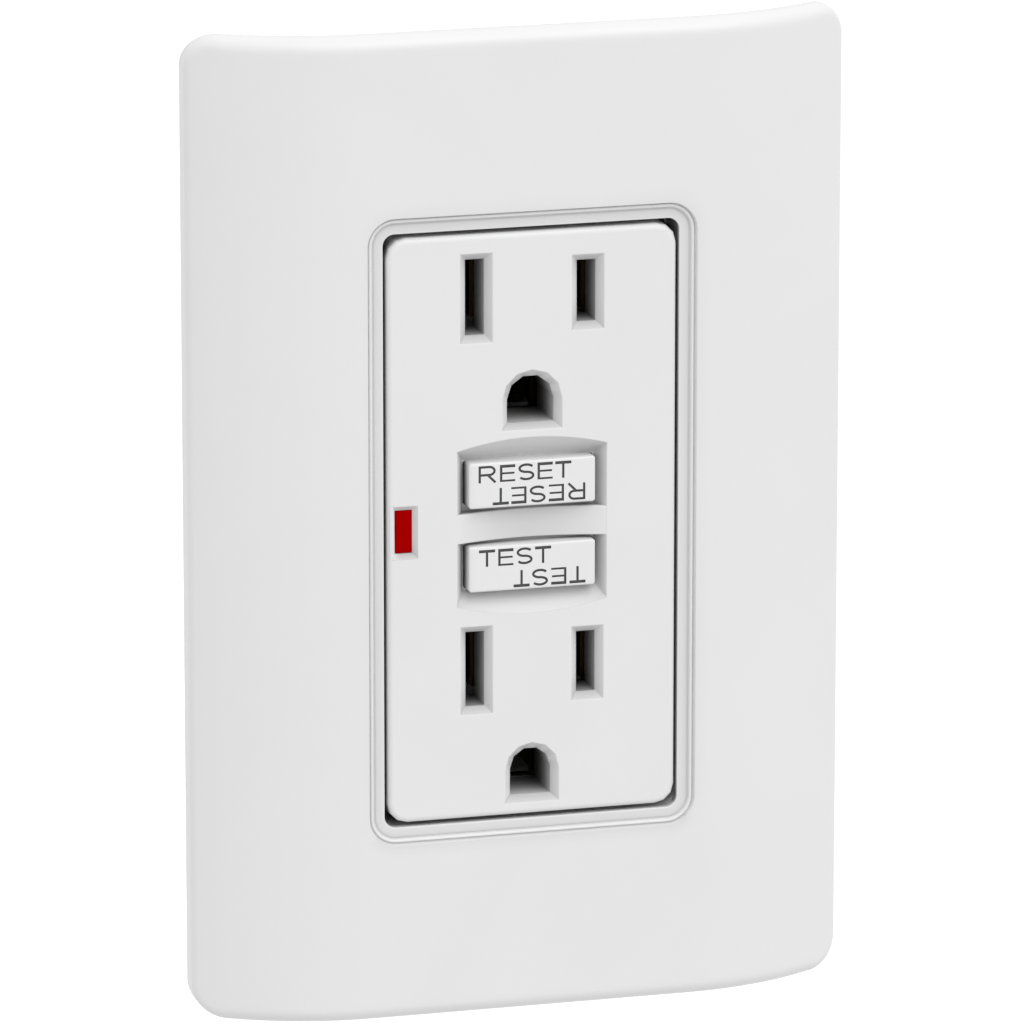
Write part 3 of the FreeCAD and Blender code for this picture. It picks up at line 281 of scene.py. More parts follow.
def threadedRod(skin, origin, direction, length, major):
    # r(a, h) = major - depth (1 - |2 frac(h / pitch - a / 2 pi) - 1|), narrowing over the last turn
    side, other, line = basisFor(direction)
    pitch, depth, sides = thread["pitch"], thread["depth"], thread["sides"]
    angle = np.arange(sides) * 2 * np.pi / sides
    height = np.linspace(0, length, int(length / pitch * thread["perTurn"]))[:, None]
    wave = 1 - np.abs(2 * np.mod(height / pitch - angle / (2 * np.pi), 1) - 1)
    taper = np.minimum(0, (length - height) / pitch - 1) * depth * thread["taper"]
    radius = (major - depth * wave + taper)[..., None]
    skin.closed(np.array(origin, float) + radius * unitRing(side, other, sides) + height[..., None] * line)


def wireAlong(skin, path, radius, sides=12):
    # Round wire: circle carried along a path, square to its tangent, closed at both ends
    tangent = np.gradient(path, axis=0)
    tangent /= np.linalg.norm(tangent, axis=1)[:, None]
    middle = path.mean(0) - path
    side = middle - (middle * tangent).sum(1)[:, None] * tangent
    side /= np.linalg.norm(side, axis=1)[:, None]
    skin.closed(path[:, None] + radius * unitRing(side[:, None], np.cross(tangent, side)[:, None], sides))


def newGroup(name, inputs, outputs):
    # What ends in Tone or Colour is a colour, the rest are numbers
    group = bpy.data.node_groups.new(name, "ShaderNodeTree")
    for labels, side in ((inputs, "INPUT"), (outputs, "OUTPUT")):
        for label in labels:
            kind = "NodeSocketColor" if label.endswith(("Tone", "Colour")) else "NodeSocketFloat"
            group.interface.new_socket(name=label, in_out=side, socket_type=kind)
    return group, group.nodes.new("NodeGroupInput").outputs, group.nodes.new("NodeGroupOutput")


def connect(tree, node, links):
    # links maps an input's name or number to a value or to another node's output
    for key, value in links.items():
        if isinstance(value, bpy.types.NodeSocket):
            tree.links.new(value, node.inputs[key])
        else:
            node.inputs[key].default_value = value
    return node


def addNode(tree, kind, links=None, **settings):
    node = tree.nodes.new("ShaderNode" + kind)
    for key, value in settings.items():
        setattr(node, key, value)
    return connect(tree, node, links or {})


def ramp(tree, source, stops):
    node = addNode(tree, "ValToRGB", {"Fac": source})
    for stop, (place, level) in zip(node.color_ramp.elements, stops):
        stop.position, stop.color = place, (level, level, level, 1)
    return node.outputs["Color"]


def noise(tree, place, scale, detail, **shape):
    links = {"Vector": place, "Scale": scale, "Detail": detail, **shape}
    return addNode(tree, "TexNoise", links).outputs["Fac"]


def maths(tree, operation, *values):
    return addNode(tree, "Math", dict(enumerate(values)), operation=operation).outputs[0]


def mixColours(tree, share, first, second, blend="MIX"):
    return addNode(tree, "Mix", {"Factor": share, 6: first, 7: second}, data_type="RGBA",
                   blend_type=blend).outputs[2]


def remap(tree, value, given, wanted):
    # Carries the range given linearly to the range wanted
    return addNode(tree, "MapRange", {"Value": value, "From Min": given[0], "From Max": given[1],
                                      "To Min": wanted[0], "To Max": wanted[1]}).outputs[0]


surfaceInputs = ("Tone", "Drift Tone", "Smooth", "Rough")
surfaceOutputs = ("Colour", "Roughness", "Height")


def mouldedGroup():
    # Moulded skin: slow tone drift from the melt's flow, fine spark-eroded grain, rare specks,
    # and painted shade: a darker colour where the piece's shade attribute says that it lies in a gap
    group, given, put = newGroup("mouldedSkinAndShade", (*surfaceInputs, "Grain Scale", "Flow Scale"), surfaceOutputs)
    place = addNode(group, "TexCoord").outputs["Object"]
    grain = noise(group, place, given["Grain Scale"], 3.0, Roughness=0.6)
    flow = noise(group, place, given["Flow Scale"], 2.0, Distortion=1.2)
    speck = addNode(group, "TexVoronoi", {"Vector": place, "Scale": 900.0, "Randomness": 1.0})
    speckMask = ramp(group, speck.outputs["Distance"], ((0.03, 1.0), (0.07, 0.0)))
    drift = ramp(group, flow, ((0.35, 0.0), (0.68, 1.0)))
    toned = mixColours(group, drift, given["Tone"], given["Drift Tone"])
    speckShare = maths(group, "MULTIPLY", speckMask, 0.12)
    dimmed = mixColours(group, speckShare, toned, given["Drift Tone"], "MULTIPLY")
    # painted shade: the shade attribute mixes the colour towards black
    shade = addNode(group, "Attribute", attribute_name="shade").outputs["Fac"]
    connect(group, put, {"Colour": mixColours(group, shade, dimmed, (0, 0, 0, 1)),
                         "Roughness": remap(group, grain, (0.3, 0.7), (given["Smooth"], given["Rough"])),
                         "Height": maths(group, "MULTIPLY_ADD", grain, 0.8, flow)})
    return group


def rolledGroup():
    # Rolled or plated metal: long rolling lines, cloudy plating and fine scratches across them
    group, given, put = newGroup("rolledSheet", (*surfaceInputs, "Line Scale", "Cloud Scale"), surfaceOutputs)
    place = addNode(group, "TexCoord").outputs["Object"]
    along = addNode(group, "Mapping", {"Vector": place, "Scale": (1.0, 1.0, 0.06)})
    across = addNode(group, "Mapping", {"Vector": place, "Rotation": (0.0, 0.5, 0.0),
                                        "Scale": (0.05, 1.0, 1.0)})
    lines = noise(group, along.outputs[0], given["Line Scale"], 4.0)
    cloud = noise(group, place, given["Cloud Scale"], 5.0, Roughness=0.65)
    scratch = ramp(group, noise(group, across.outputs[0], 2600.0, 2.0), ((0.62, 0.0), (0.7, 1.0)))
    drift = ramp(group, cloud, ((0.38, 0.0), (0.66, 1.0)))
    connect(group, put, {"Colour": mixColours(group, drift, given["Tone"], given["Drift Tone"]),
                         "Roughness": remap(group, lines, (0.3, 0.7), (given["Smooth"], given["Rough"])),
                         "Height": maths(group, "MULTIPLY_ADD", scratch, -0.3, lines)})
    return group


def seenGroup():
    # 1 where the camera sees it, straight, mirrored or through glass, and 0 for the light that it sends
    group, _, put = newGroup("seenByCamera", (), ("Seen",))
    path = addNode(group, "LightPath").outputs
    seen = maths(group, "MAXIMUM", path["Is Camera Ray"], path["Is Glossy Ray"])
    connect(group, put, {"Seen": maths(group, "MAXIMUM", seen, path["Is Transmission Ray"])})
    return group


mouldedSkinAndShade, rolledSheet, seenByCamera = mouldedGroup(), rolledGroup(), seenGroup()
bumpDepth = 0.00004


def newMaterial(name):
    material = bpy.data.materials.new(name)
    material.use_nodes = True
    return material, material.node_tree, material.node_tree.nodes["Principled BSDF"]


def makeFinish(name, tone, driftTone, values, bump, metal=0.0, extra=None, paintedShade=None):
    # values that give a grain make moulded skin, others make rolled sheet;
    # paintedShade is (depth, depth, amount): painted shade of that amount up to the first depth, gone at the
    # second
    material, tree, shader = newMaterial(name)
    skin = addNode(tree, "Group", {"Tone": (*tone, 1), "Drift Tone": (*driftTone, 1), **values},
                   node_tree=mouldedSkinAndShade if "Grain Scale" in values else rolledSheet).outputs
    relief = addNode(tree, "Bump", {"Height": skin["Height"], "Strength": bump, "Distance": bumpDepth})
    colour = skin["Colour"]
    if paintedShade:
        place = addNode(tree, "TexCoord").outputs["Object"]
        depth = addNode(tree, "SeparateXYZ", {0: place}).outputs["Y"]
        # painted shade: the colour goes towards near black in front of the first depth
        shadeShare = remap(tree, depth, paintedShade[:2], (paintedShade[2], 0.0))
        colour = mixColours(tree, shadeShare, colour, (0.004, 0.003, 0.002, 1))
    connect(tree, shader, {"Base Color": colour, "Roughness": skin["Roughness"],
                           "Normal": relief.outputs["Normal"], "Metallic": metal, **(extra or {})})
    return material


def grey(level, warm=0.0):
    return (level + warm, level, level - warm)


plasticGrain = {"Grain Scale": 5200.0, "Flow Scale": 38.0, "Smooth": 0.34, "Rough": 0.46}
coarseGrain = {"Grain Scale": 2600.0, "Flow Scale": 60.0, "Smooth": 0.42, "Rough": 0.6}
lensGrain = {"Grain Scale": 3000.0, "Flow Scale": 220.0, "Smooth": 0.3, "Rough": 0.42}
fibreGrain = {"Grain Scale": 1600.0, "Flow Scale": 300.0, "Smooth": 0.7, "Rough": 0.9}
sheetLines = {"Line Scale": 900.0, "Cloud Scale": 160.0, "Smooth": 0.26, "Rough": 0.46}
turnedLines = {**sheetLines, "Line Scale": 2200.0}
noSheen = {"Specular IOR Level": 0.0}
finishRows = {
    "white_plastic": ("coverWhite", grey(0.775), grey(0.762), plasticGrain, 0.06),
    "button_plastic": ("buttonWhite", grey(0.79), grey(0.775), plasticGrain, 0.05),
    "inner_plate_plastic": ("innerPlateWhite", grey(0.72, 0.008), grey(0.69, 0.01), coarseGrain, 0.12),
    "frame_plastic": ("frameGrey", grey(0.6, -0.006), grey(0.55, -0.006), coarseGrain, 0.16),
    "housing_plastic": ("housingGrey", grey(0.46, -0.012), grey(0.41, -0.012), coarseGrain, 0.2),
    "mechanism_plastic": ("mechanismBlack", grey(0.05), grey(0.035), coarseGrain, 0.15),
    "ring_plastic": ("ringNatural", (0.72, 0.7, 0.62), (0.66, 0.63, 0.54), coarseGrain, 0.1),
    "red_lens": ("lensRed", (0.4, 0.0, 0.0), (0.345, 0.0, 0.0), lensGrain, 0.05, 0.0, noSheen),
    "zinc_steel": ("zincPlated", (0.62, 0.62, 0.6), (0.48, 0.49, 0.5), sheetLines, 0.12, 1.0),
    "spring_steel": ("springWire", (0.5, 0.5, 0.5), (0.36, 0.36, 0.37), sheetLines, 0.08, 1.0),
    "strip_brass": ("stampedBrass", (0.72, 0.53, 0.25), (0.55, 0.38, 0.16), sheetLines, 0.12, 1.0),
    "screw_brass": ("turnedBrass", (0.74, 0.57, 0.28), (0.6, 0.44, 0.2), turnedLines, 0.1, 1.0),
    "silver_contact": ("silverFace", (0.78, 0.78, 0.76), (0.62, 0.62, 0.58), sheetLines, 0.08, 1.0),
    "green_steel": ("greenDyedZinc", (0.05, 0.3, 0.1), (0.03, 0.2, 0.06), sheetLines, 0.1, 0.8),
    "fibre": ("pressedFibre", (0.5, 0.38, 0.24), (0.38, 0.27, 0.16), fibreGrain, 0.4),
    "board_laminate": ("solderMask", (0.04, 0.24, 0.1), (0.03, 0.17, 0.07), coarseGrain, 0.15),
    "coil_copper": ("enamelledWire", (0.55, 0.22, 0.08), (0.4, 0.14, 0.05), sheetLines, 0.1, 0.7),
    "ferrite": ("sinteredCore", grey(0.1), grey(0.07), coarseGrain, 0.3),
    "ceramic_blue": ("dippedBlue", (0.06, 0.14, 0.42), (0.04, 0.1, 0.32), coarseGrain, 0.2),
    "chip_black": ("chipBlack", grey(0.03), grey(0.022), coarseGrain, 0.15),
    "resistor_tan": ("resistorTan", (0.6, 0.47, 0.3), (0.5, 0.38, 0.24), coarseGrain, 0.15),
}
finishes = {slotName: makeFinish(*row) for slotName, row in finishRows.items()}
# the brass jaws behind the openings get painted shade at their mouths, near black, gone further back
jawBrass = makeFinish("jawBrass", (0.6, 0.43, 0.2), (0.42, 0.29, 0.12), sheetLines, 0.12, 1.0,
                      paintedShade=(0.002, 0.009, 0.97))
jawNodes = ("neutral_load_strip", "hot_load_strip", "upper_ground_contact", "lower_ground_contact")
wordInk = makeFinish("wordShade", grey(0.07), grey(0.055), plasticGrain, 0.05)
print("finishes ready:", len(finishes) + 2)


plate = dict(
    halfW=37.4, halfH=55.75, cornerR=3.8, frontY=-9.7, flatHalf=18.2, bendR=29.996, edgeR=1.6, wall=1.8,
    rim=2.8, openW=16.82, openH=33.66, openR=1.3, beadTop=-9.28, beadFoot=-9.02, beadMiddle=1.5,
    beadHalf=0.2, throatShade=0.8, moatW=1.92, rollW=1.9, rollDepth=0.06, rollShade=0.1, frontRows=30,
    hookX=29.0, hookZ=40.0, hookThick=1.2, hookHalf=3.0, hookRoot=0.6, hookEdge=0.2, nub=0.6, nubOver=0.5,
    nubY=(-1.4, -0.8), nubEdge=0.15)
cornerSigns = ((-1, -1), (-1, 1), (1, -1), (1, 1))


def bendDrop(x):
    # R - sqrt(R^2 - (|x| - flat)^2) past the flat middle
    past = np.maximum(np.abs(x) - plate["flatHalf"], 0)
    return plate["bendR"] - np.sqrt(plate["bendR"] ** 2 - past ** 2)


def bendSlope(x):
    past = np.maximum(np.abs(x) - plate["flatHalf"], 0)
    return np.sign(x) * past / np.sqrt(plate["bendR"] ** 2 - past ** 2)


def coverPlate():
    p = plate
    counts = {"arc": 14, "across": 44, "up": 10}
    opening, away = roundedLoop(p["openW"], p["openH"], p["openR"], **counts)
    outline, outward = roundedLoop(p["halfW"], p["halfH"], p["cornerR"], **counts)
    rows = []
    # border: (offset from the opening, depth, painted shade) from the opening's wall out to the plate's front
    half = np.linspace(0, np.pi, 13)
    bead = np.c_[p["beadMiddle"] - p["beadHalf"] * np.cos(half),
                 p["beadFoot"] + (p["beadTop"] - p["beadFoot"]) * np.sin(half), np.zeros(13)]
    # the plate dips towards the border: depth D (1 - t)^2 over the roll's width, with painted shade that
    # fades the same way
    dip = np.linspace(0, 1, 12)
    roll = np.c_[p["moatW"] + p["rollW"] * dip, p["frontY"] + p["rollDepth"] * (1 - dip) ** 2,
                 p["rollShade"] * (1 - dip) ** 2]
    border = np.concatenate([
        [(0, -8.8, 0.3), (0.02, -8.87, 0.05), (0.06, -8.91, 0), (0.11, -8.925, 0)],
        [(0.2, -8.93, 0.08), (0.6, -8.935, 0.1), (0.9, -8.94, 0.14), (1.06, -8.94, 0.22)],
        [(1.13, -8.88, 0.2), (1.22, -8.88, 0.2)], bead,
        [(1.73, -9.1, 0.14), (1.77, -9.12, 0.14), (1.82, -9.36, 0.1), (1.87, -9.57, 0.08)], roll])
    for offset, y, _ in border:
        loop = opening + away * offset
        onPlate = np.clip((offset - p["moatW"]) / p["rollW"], 0, 1)
        rows.append(lift(loop, y + bendDrop(loop[:, 0]) * onPlate))
    # rolling ball along the front edge: inset r (1 - s / sqrt(1 + s^2)) where the front slopes by s
    inset = np.full(len(outline), p["edgeR"])
    for _ in range(5):
        tangentX = outline[:, 0] - outward[:, 0] * inset
        slope = bendSlope(tangentX) * outward[:, 0]
        inset = p["edgeR"] * (1 - slope / np.sqrt(1 + slope ** 2))
    ballY = p["frontY"] + bendDrop(tangentX) + p["edgeR"] / np.sqrt(1 + slope ** 2)
    lastTurn = np.arctan2(1, slope)
    start, finish = opening + away * border[-1][0], outline - outward * inset[:, None]
    for share in np.linspace(0, 1, p["frontRows"])[1:]:
        loop = start * (1 - share) + finish * share
        rows.append(lift(loop, p["frontY"] + bendDrop(loop[:, 0])))
    for share in np.linspace(1, 0, 11)[1:]:
        turn = lastTurn * share
        loop = outline - outward * (p["edgeR"] * (1 - np.cos(turn)))[:, None]
        rows.append(lift(loop, ballY - p["edgeR"] * np.sin(turn)))
    # the rim ends a constant depth behind the front, level with the wall at the sides
    backY = np.minimum(0, p["frontY"] + p["rim"] + bendDrop(outline[:, 0]))
    for offset, back in ((0, 0.2), (0.06, 0.06), (0.2, 0), (p["wall"] - 0.15, 0), (p["wall"], 0.15)):
        rows.append(lift(outline - outward * offset, backY - back))
    innerLoop = outline - outward * p["wall"]
    innerY = p["frontY"] + p["wall"]
    rows.append(lift(innerLoop, innerY + bendDrop(innerLoop[:, 0])))
    for share in np.linspace(0, 1, 20)[1:]:
        loop = innerLoop * (1 - share) + opening * share
        rows.append(lift(loop, innerY + bendDrop(loop[:, 0])))
    # painted shade: the border's as listed and throatShade on the last row; less on the lower wall, which
    # faces up
    shade = np.zeros((len(rows), len(opening)))
    shade[:len(border)], shade[-1] = border[:, 2:], p["throatShade"]
    shade[np.ix_([0, -1], away[:, 1] < -0.7)] *= 0.45  # the lower wall faces up and stays lighter
    outerBand = np.arange(len(border) - len(roll) - 4, len(border))
    shade[np.ix_(outerBand, away[:, 1] > -0.7)] *= 0.3  # outside the bead only the lower side keeps its shade
    skin = Skin()
    skin.grid(rows, shade, closeRows=True)
    rootY = innerY + bendDrop(np.array(p["hookX"])) - p["hookRoot"]
    hook = ((p["hookX"], p["hookX"] + p["hookThick"]), rootY, p["hookEdge"])
    nub = ((p["hookX"] - p["nub"], p["hookX"] + p["nubOver"]), p["nubY"][0], p["nubEdge"])
    for sx, sz in cornerSigns:
        low, high = sz * p["hookZ"] - p["hookHalf"], sz * p["hookZ"] + p["hookHalf"]
        for reach, startY, edge in (hook, nub):
            inner, outer = sorted((sx * reach[0], sx * reach[1]))
            softBlock(skin, (inner, startY, low), (outer, p["nubY"][1], high), edge)
    finishPiece("coverPlate", skin, "device", "white_plastic", ["faceplate"])


coverPlate()
print("cover plate ready")


face = dict(
    halfW=16.47, halfH=33.15, cornerR=2.2, cornerFlats=3, frontY=-9.2, backY=-1.6, edgeR=0.62,
    sideWall=1.5, innerY=-6.8, topShade=0.25, hollowDark=0.93, rows=(26.0, -16.2), bladeX=6.35,
    slotHalfW=1.06, slotHalfH={-1: 4.25, 1: 3.45}, slotBevel=0.795, bevelDepth=0.86, soft=0.05, land=0.08,
    pinDrop=11.8, pinR=(2.65, 2.31), pinBevel=0.79, pinFlat=(2.7, 3.05), pinMouthFlat=(3.36, 3.79),
    mouthFlats=6, throatFlats=5, sleeveY=-4.2, pinSleeveY=-1.5, sleeveWall=0.7,
    lipDark=(0, 0, 0.03, 0.15, 0.22), slotDark=(0.38, 0.45, 0.52, 0.66, 0.76),
    pinDark=(0.22, 0.3, 0.42, 0.8, 0.99), bottomLip=0.24, bottomMore=1.3, slotFloor=(1.2, 1.2),
    pinFloor=(0.62, 0.97), recessHalfW=8.53, recessHalfH=8.8, recessRise=1.2, recessAcross=41,
    recessUp=15, floorHalfW=7.5, floorHalfH=7.41, floorRise=0.02, floorY=-7.3, floorDark=0.5,
    floorLight=0.04, buttonZ=(4.83, -4.67), holeHalfW=7.45, holeHalfH=2.56, holeR=0.5,
    wallRows=(0.0, 0.3, 0.55, 0.8, 1.0), cornerDark=0.1, wallDark=((0, 0.08, 0.1, 0.16, 0.22, 0.24, 0.1),
    (0, 0, 0.02, 0.05, 0.18, 0.4, 0.56), (0, 0.08, 0.1, 0.1, 0.12, 0.28, 0.56),
    (0, 0.05, 0.1, 0.21, 0.34, 0.45, 0.52)), bridgeLow=-1.7, bridgeHigh=1.62, dish=1.4, bridgeEdge=0.12,
    bridgeWall=0.7, footOver=0.86, footY=(-2.3, -1.68), posts=(14.3, 30.3), postR=2.3, postBore=1.5,
    lensX=-14.55, lensZ=0.08, lensHalfW=0.99, lensHalfH=2.46, lensBevel=0.53, lensY=-8.65,
    lensDark=(0, 0.1, 0.16, 0.9), lensFloor=2.35)


def rectLoop(halfW, halfH, cx, cz):
    return roundedLoop(halfW, halfH, 0.06, 3, 3, 3, cx, cz)[0]


def pinLoop(radius, flat, cz, flats):
    # Arch of a few flats on top of a flat-bottomed box: points spread along the chords of a half circle
    corner = np.linspace(0, np.pi, flats + 1)
    at = np.linspace(0, np.pi, 31)
    flatX, flatZ = radius * np.cos(corner), radius * np.sin(corner)
    arch = np.c_[np.interp(at, corner, flatX), np.interp(at, corner, flatZ)]
    share = np.linspace(0, 1, 9)[:, None]
    left = np.array([-radius, 0]) * (1 - share) + np.array([-radius, -flat]) * share
    base = np.array([-radius, -flat]) * (1 - share) + np.array([radius, -flat]) * share
    return np.concatenate([arch, left[1:], base[1:], -left[::-1][1:-1] * (1, -1)]) + (0, cz)


def recessLoop(halfW, halfH, rise):
    # Box whose top and bottom bow outwards: z = +-(h + rise (1 - (x / w)^2))
    x = np.linspace(1, -1, face["recessAcross"])
    top = np.c_[halfW * x, halfH + rise * (1 - x ** 2)]
    z = np.linspace(1, -1, face["recessUp"] + 2)[1:-1]
    left = np.c_[np.full(len(z), -halfW), halfH * z]
    return np.concatenate([top, left, -top, -left])


def atLow(values):
    # Which of them lie within a tenth of a millimetre of the lowest
    return values < values.min() + 0.1


def spread(values, count):
    # A row of equal numbers for each value
    return np.repeat(np.array(values, float)[:, None], count, 1)


def deviceFace():
    f = face
    skin = Skin()
    frontY, innerY, hollow = f["frontY"], f["innerY"], f["hollowDark"]
    outline, outward = roundedLoop(f["halfW"], f["halfH"], f["cornerR"], f["cornerFlats"], 6, 10)
    # outer wall: (inset, depth, painted shade), the painted shade dark below the plate's opening and weaker
    # on top
    profile = [(f["sideWall"], innerY, 0), (f["sideWall"], f["backY"] - 0.1, 0),
               (f["sideWall"] - 0.1, f["backY"], 0), (0.1, f["backY"], 0.9), (0, f["backY"] - 0.1, 0.9),
               (0, -7.0, 0.85), (0, -7.6, 0.7), (0, -8.1, 0.4)]
    out, rise = quarterTurn(9)
    profile += list(zip(f["edgeR"] * out, frontY + f["edgeR"] * rise, np.linspace(0.05, 0, 9)))
    profile.append((f["edgeR"] + 0.06, frontY, 0))
    insets, depths, shades = np.array(profile).T
    skin.grid([lift(outline - outward * inset, y) for inset, y in zip(insets, depths)],
              shades[:, None] * np.where(outward[:, 1] > 0.7, f["topShade"], 1))
    # flange round the face's foot, with near-black painted shade
    footX, (footTop, footBack) = f["footOver"], f["footY"]
    foot = [(0.4, footTop), (-footX, footTop), (-footX, footBack), (0.4, footBack)]
    skin.grid([lift(outline - outward * inset, y) for inset, y in foot], hollow, closeRows=True)
    front = outline - outward * (f["edgeR"] + 0.06)
    back = outline - outward * f["sideWall"]
    mouths, throats = [], []

    def opening(mouth, inner, sleeveY, dark, floorTone):
        # mouth(o) and inner(o) give a loop grown by o; a soft lip, the bevel, a soft turn and the throat,
        # with painted shade that deepens downwards by the five values in dark, times floorTone from left to
        # right on its floor
        s, bevelY, sleeve = f["soft"], frontY + f["bevelDepth"], f["sleeveWall"]
        rings = [lift(mouth(s + f["land"]), frontY), lift(mouth(s), frontY),
                 lift(mouth(0.3 * s), frontY + 0.3 * s), lift(mouth(-0.7 * s), frontY + s),
                 lift(inner(0.7 * s), bevelY - s), lift(inner(0), bevelY + 0.5 * s),
                 lift(inner(0), bevelY + 0.7), lift(inner(0), innerY)]
        edgeX, edgeZ = mouth(s).T
        bottom = atLow(edgeZ)
        across = (edgeX - edgeX.min()) / np.ptp(edgeX)
        floorDark = np.where(bottom, floorTone[0] * (1 - across) + floorTone[1] * across, 1)
        shade = spread([*f["lipDark"], *dark[:3]], len(edgeX))
        shade[:5, atLow(edgeX) & ~bottom & ~atLow(-edgeZ)] = 0  # the left bevel stays as light as the face
        # more painted shade on the bottom bevel
        shade[:5, bottom] *= f["bottomMore"]
        shade[3, bottom] = f["bottomLip"]
        shade[5:] *= floorDark
        skin.grid(rings, shade)
        mouths.append(mouth(s + f["land"]))
        throats.append(inner(sleeve))
        # painted shade down the tube behind the throat
        tube = [lift(inner(0), innerY), lift(inner(0), (innerY + sleeveY) / 2), lift(inner(0), sleeveY),
                lift(inner(sleeve), sleeveY), lift(inner(sleeve), innerY)]
        skin.grid(tube, np.outer([*dark[2:], dark[4], dark[4]], floorDark))

    wide, bevel = f["slotHalfW"], f["slotBevel"]
    for row in f["rows"]:
        for side in (-1, 1):
            x, high = side * f["bladeX"], f["slotHalfH"][side]
            opening(lambda o: rectLoop(wide + bevel + o, high + bevel + o, x, row),
                    lambda o: rectLoop(wide + o, high + o, x, row),
                    f["sleeveY"], f["slotDark"], f["slotFloor"])
    for row, radius, flat, mouthFlat in zip(f["rows"], f["pinR"], f["pinFlat"], f["pinMouthFlat"]):
        z, mouthR = row - f["pinDrop"], radius + f["pinBevel"]
        opening(lambda o: pinLoop(mouthR + o, mouthFlat + o, z, f["mouthFlats"]),
                lambda o: pinLoop(radius + o, flat + o, z, f["throatFlats"]),
                f["pinSleeveY"], f["pinDark"], f["pinFloor"])

    # indicator window, with painted shade: none on its left and more on its floor
    land, mouth, inner = (rectLoop(f["lensHalfW"] + grow, f["lensHalfH"] + grow, f["lensX"], f["lensZ"])
                          for grow in (f["lensBevel"] + 0.1, f["lensBevel"], 0))
    dark = spread(f["lensDark"], len(mouth))
    dark[:3, atLow(mouth[:, 0])] = 0
    dark[:3, atLow(mouth[:, 1])] *= f["lensFloor"]
    skin.grid([lift(land, frontY), lift(mouth, frontY), lift(inner, f["lensY"]), lift(inner, innerY)], dark)
    mouths.append(land)
    throats.append(inner)

    # recess whose leaning walls take painted shade, deepening downwards by the values in wallDark: top, left,
    # bottom, right
    land, lip, wallTop = (recessLoop(f["recessHalfW"] + grow, f["recessHalfH"] + grow, f["recessRise"])
                          for grow in (0.12, 0.02, -0.02))
    floor = recessLoop(f["floorHalfW"], f["floorHalfH"], f["floorRise"])
    wallY = frontY + 0.05
    walls = [lift(wallTop * (1 - t) + floor * t, wallY + (f["floorY"] - wallY) * t) for t in f["wallRows"]]
    across, up = f["recessAcross"], f["recessUp"]
    dark = np.repeat(f["wallDark"], [across, up, across, up], 0).T
    # more painted shade towards the corners of the top and bottom walls
    for start in (0, across + up):
        dark[1:5, start:start + across] += f["cornerDark"] * np.linspace(1, -1, across) ** 4
    skin.grid([lift(land, frontY), lift(lip, frontY)] + walls, dark)
    mouths.append(land)
    # painted shade on its floor round the button holes, almost none above RESET, where the wall comes down to
    # the button
    holes = [roundedLoop(f["holeHalfW"], f["holeHalfH"], f["holeR"], 6, 10, 5, 0, z)[0] for z in f["buttonZ"]]
    upperEnd = f["buttonZ"][0] + f["holeHalfH"] - 0.1

    def floorShade(points):
        return np.where(points[:, 1] > upperEnd, f["floorLight"], f["floorDark"])

    flatWithHoles(skin, floor, holes, f["floorY"], floorShade)
    # near-black painted shade down the holes' walls
    for hole in holes:
        skin.grid([lift(hole, f["floorY"]), lift(hole, innerY)],
                  [floorShade(hole), np.full(len(hole), hollow)])
    flatWithHoles(skin, front, mouths, frontY)
    # near-black painted shade on the back inside the recess
    flatWithHoles(skin, back, throats + holes, innerY,
                  lambda points: np.where(np.abs(points).max(1) < f["recessHalfH"], hollow, 0.0))

    # dished bridge between the buttons: front y = front + dish (1 - (x / w)^2), long edges rounded
    x = np.linspace(-1, 1, 61)
    out, rise = quarterTurn(6)
    top, low, edge, wall, deep = f["bridgeHigh"], f["bridgeLow"], f["bridgeEdge"], f["bridgeWall"], 9.0
    soft = edge * np.c_[rise, out][::-1]
    section = np.concatenate([[(top, deep), (top, wall)], soft * (-1, 1) + (top, 0),
                              [(1.2, 0), (0, 0), (-1.5, 0)], soft[::-1] + (low, 0),
                              [(low, wall), (low, deep)]])
    # painted shade on the bridge: down its sides, and deeper towards its middle and its upper edge
    sunk = np.clip(section[:, 1] / wall, 0, 1) * 0.7
    bridgeY = frontY + f["dish"] * (1 - x ** 2) + 0.004
    reach = (f["recessHalfW"] + 0.07) * x
    rings = [np.c_[np.full(len(section), r), np.minimum(y + section[:, 1], innerY - 0.02), section[:, 0]]
             for r, y in zip(reach, bridgeY)]
    dim = 0.15 * (1 - x[:, None] ** 2) + 0.08 * np.clip(section[:, 0] - 0.6, 0, 1) * (1 - x[:, None] ** 4)
    skin.grid(rings, np.maximum(dim, sunk))
    skin.cap(rings[0])
    skin.cap(rings[-1])
    postR, bore = f["postR"], f["postBore"]
    post = [(postR - 0.1, 0), (postR, 0.1), (postR, 5.1), (postR - 0.1, 5.2), (bore, 5.2), (bore, 0.6)]
    for sx, sz in cornerSigns:
        lathe(skin, (sx * f["posts"][0], innerY - 0.05, sz * f["posts"][1]), (0, 1, 0), post, 32)
    finishPiece("deviceFace", skin, "device", "white_plastic", ["face_cover"], 20)


def indicatorLens():
    # The light pipe and its collar behind the face
    skin = Skin()
    softBlock(skin, (-15.5, face["lensY"], -2.33), (-13.6, 11.0, 2.49), 0.12)
    softBlock(skin, (-15.41, -6.65, -3.2), (-13.61, -5.75, 3.2), 0.1)
    finishPiece("indicatorLens", skin, "device", "red_lens", ["indicator_lens"])


deviceFace()
indicatorLens()
print("device face ready")


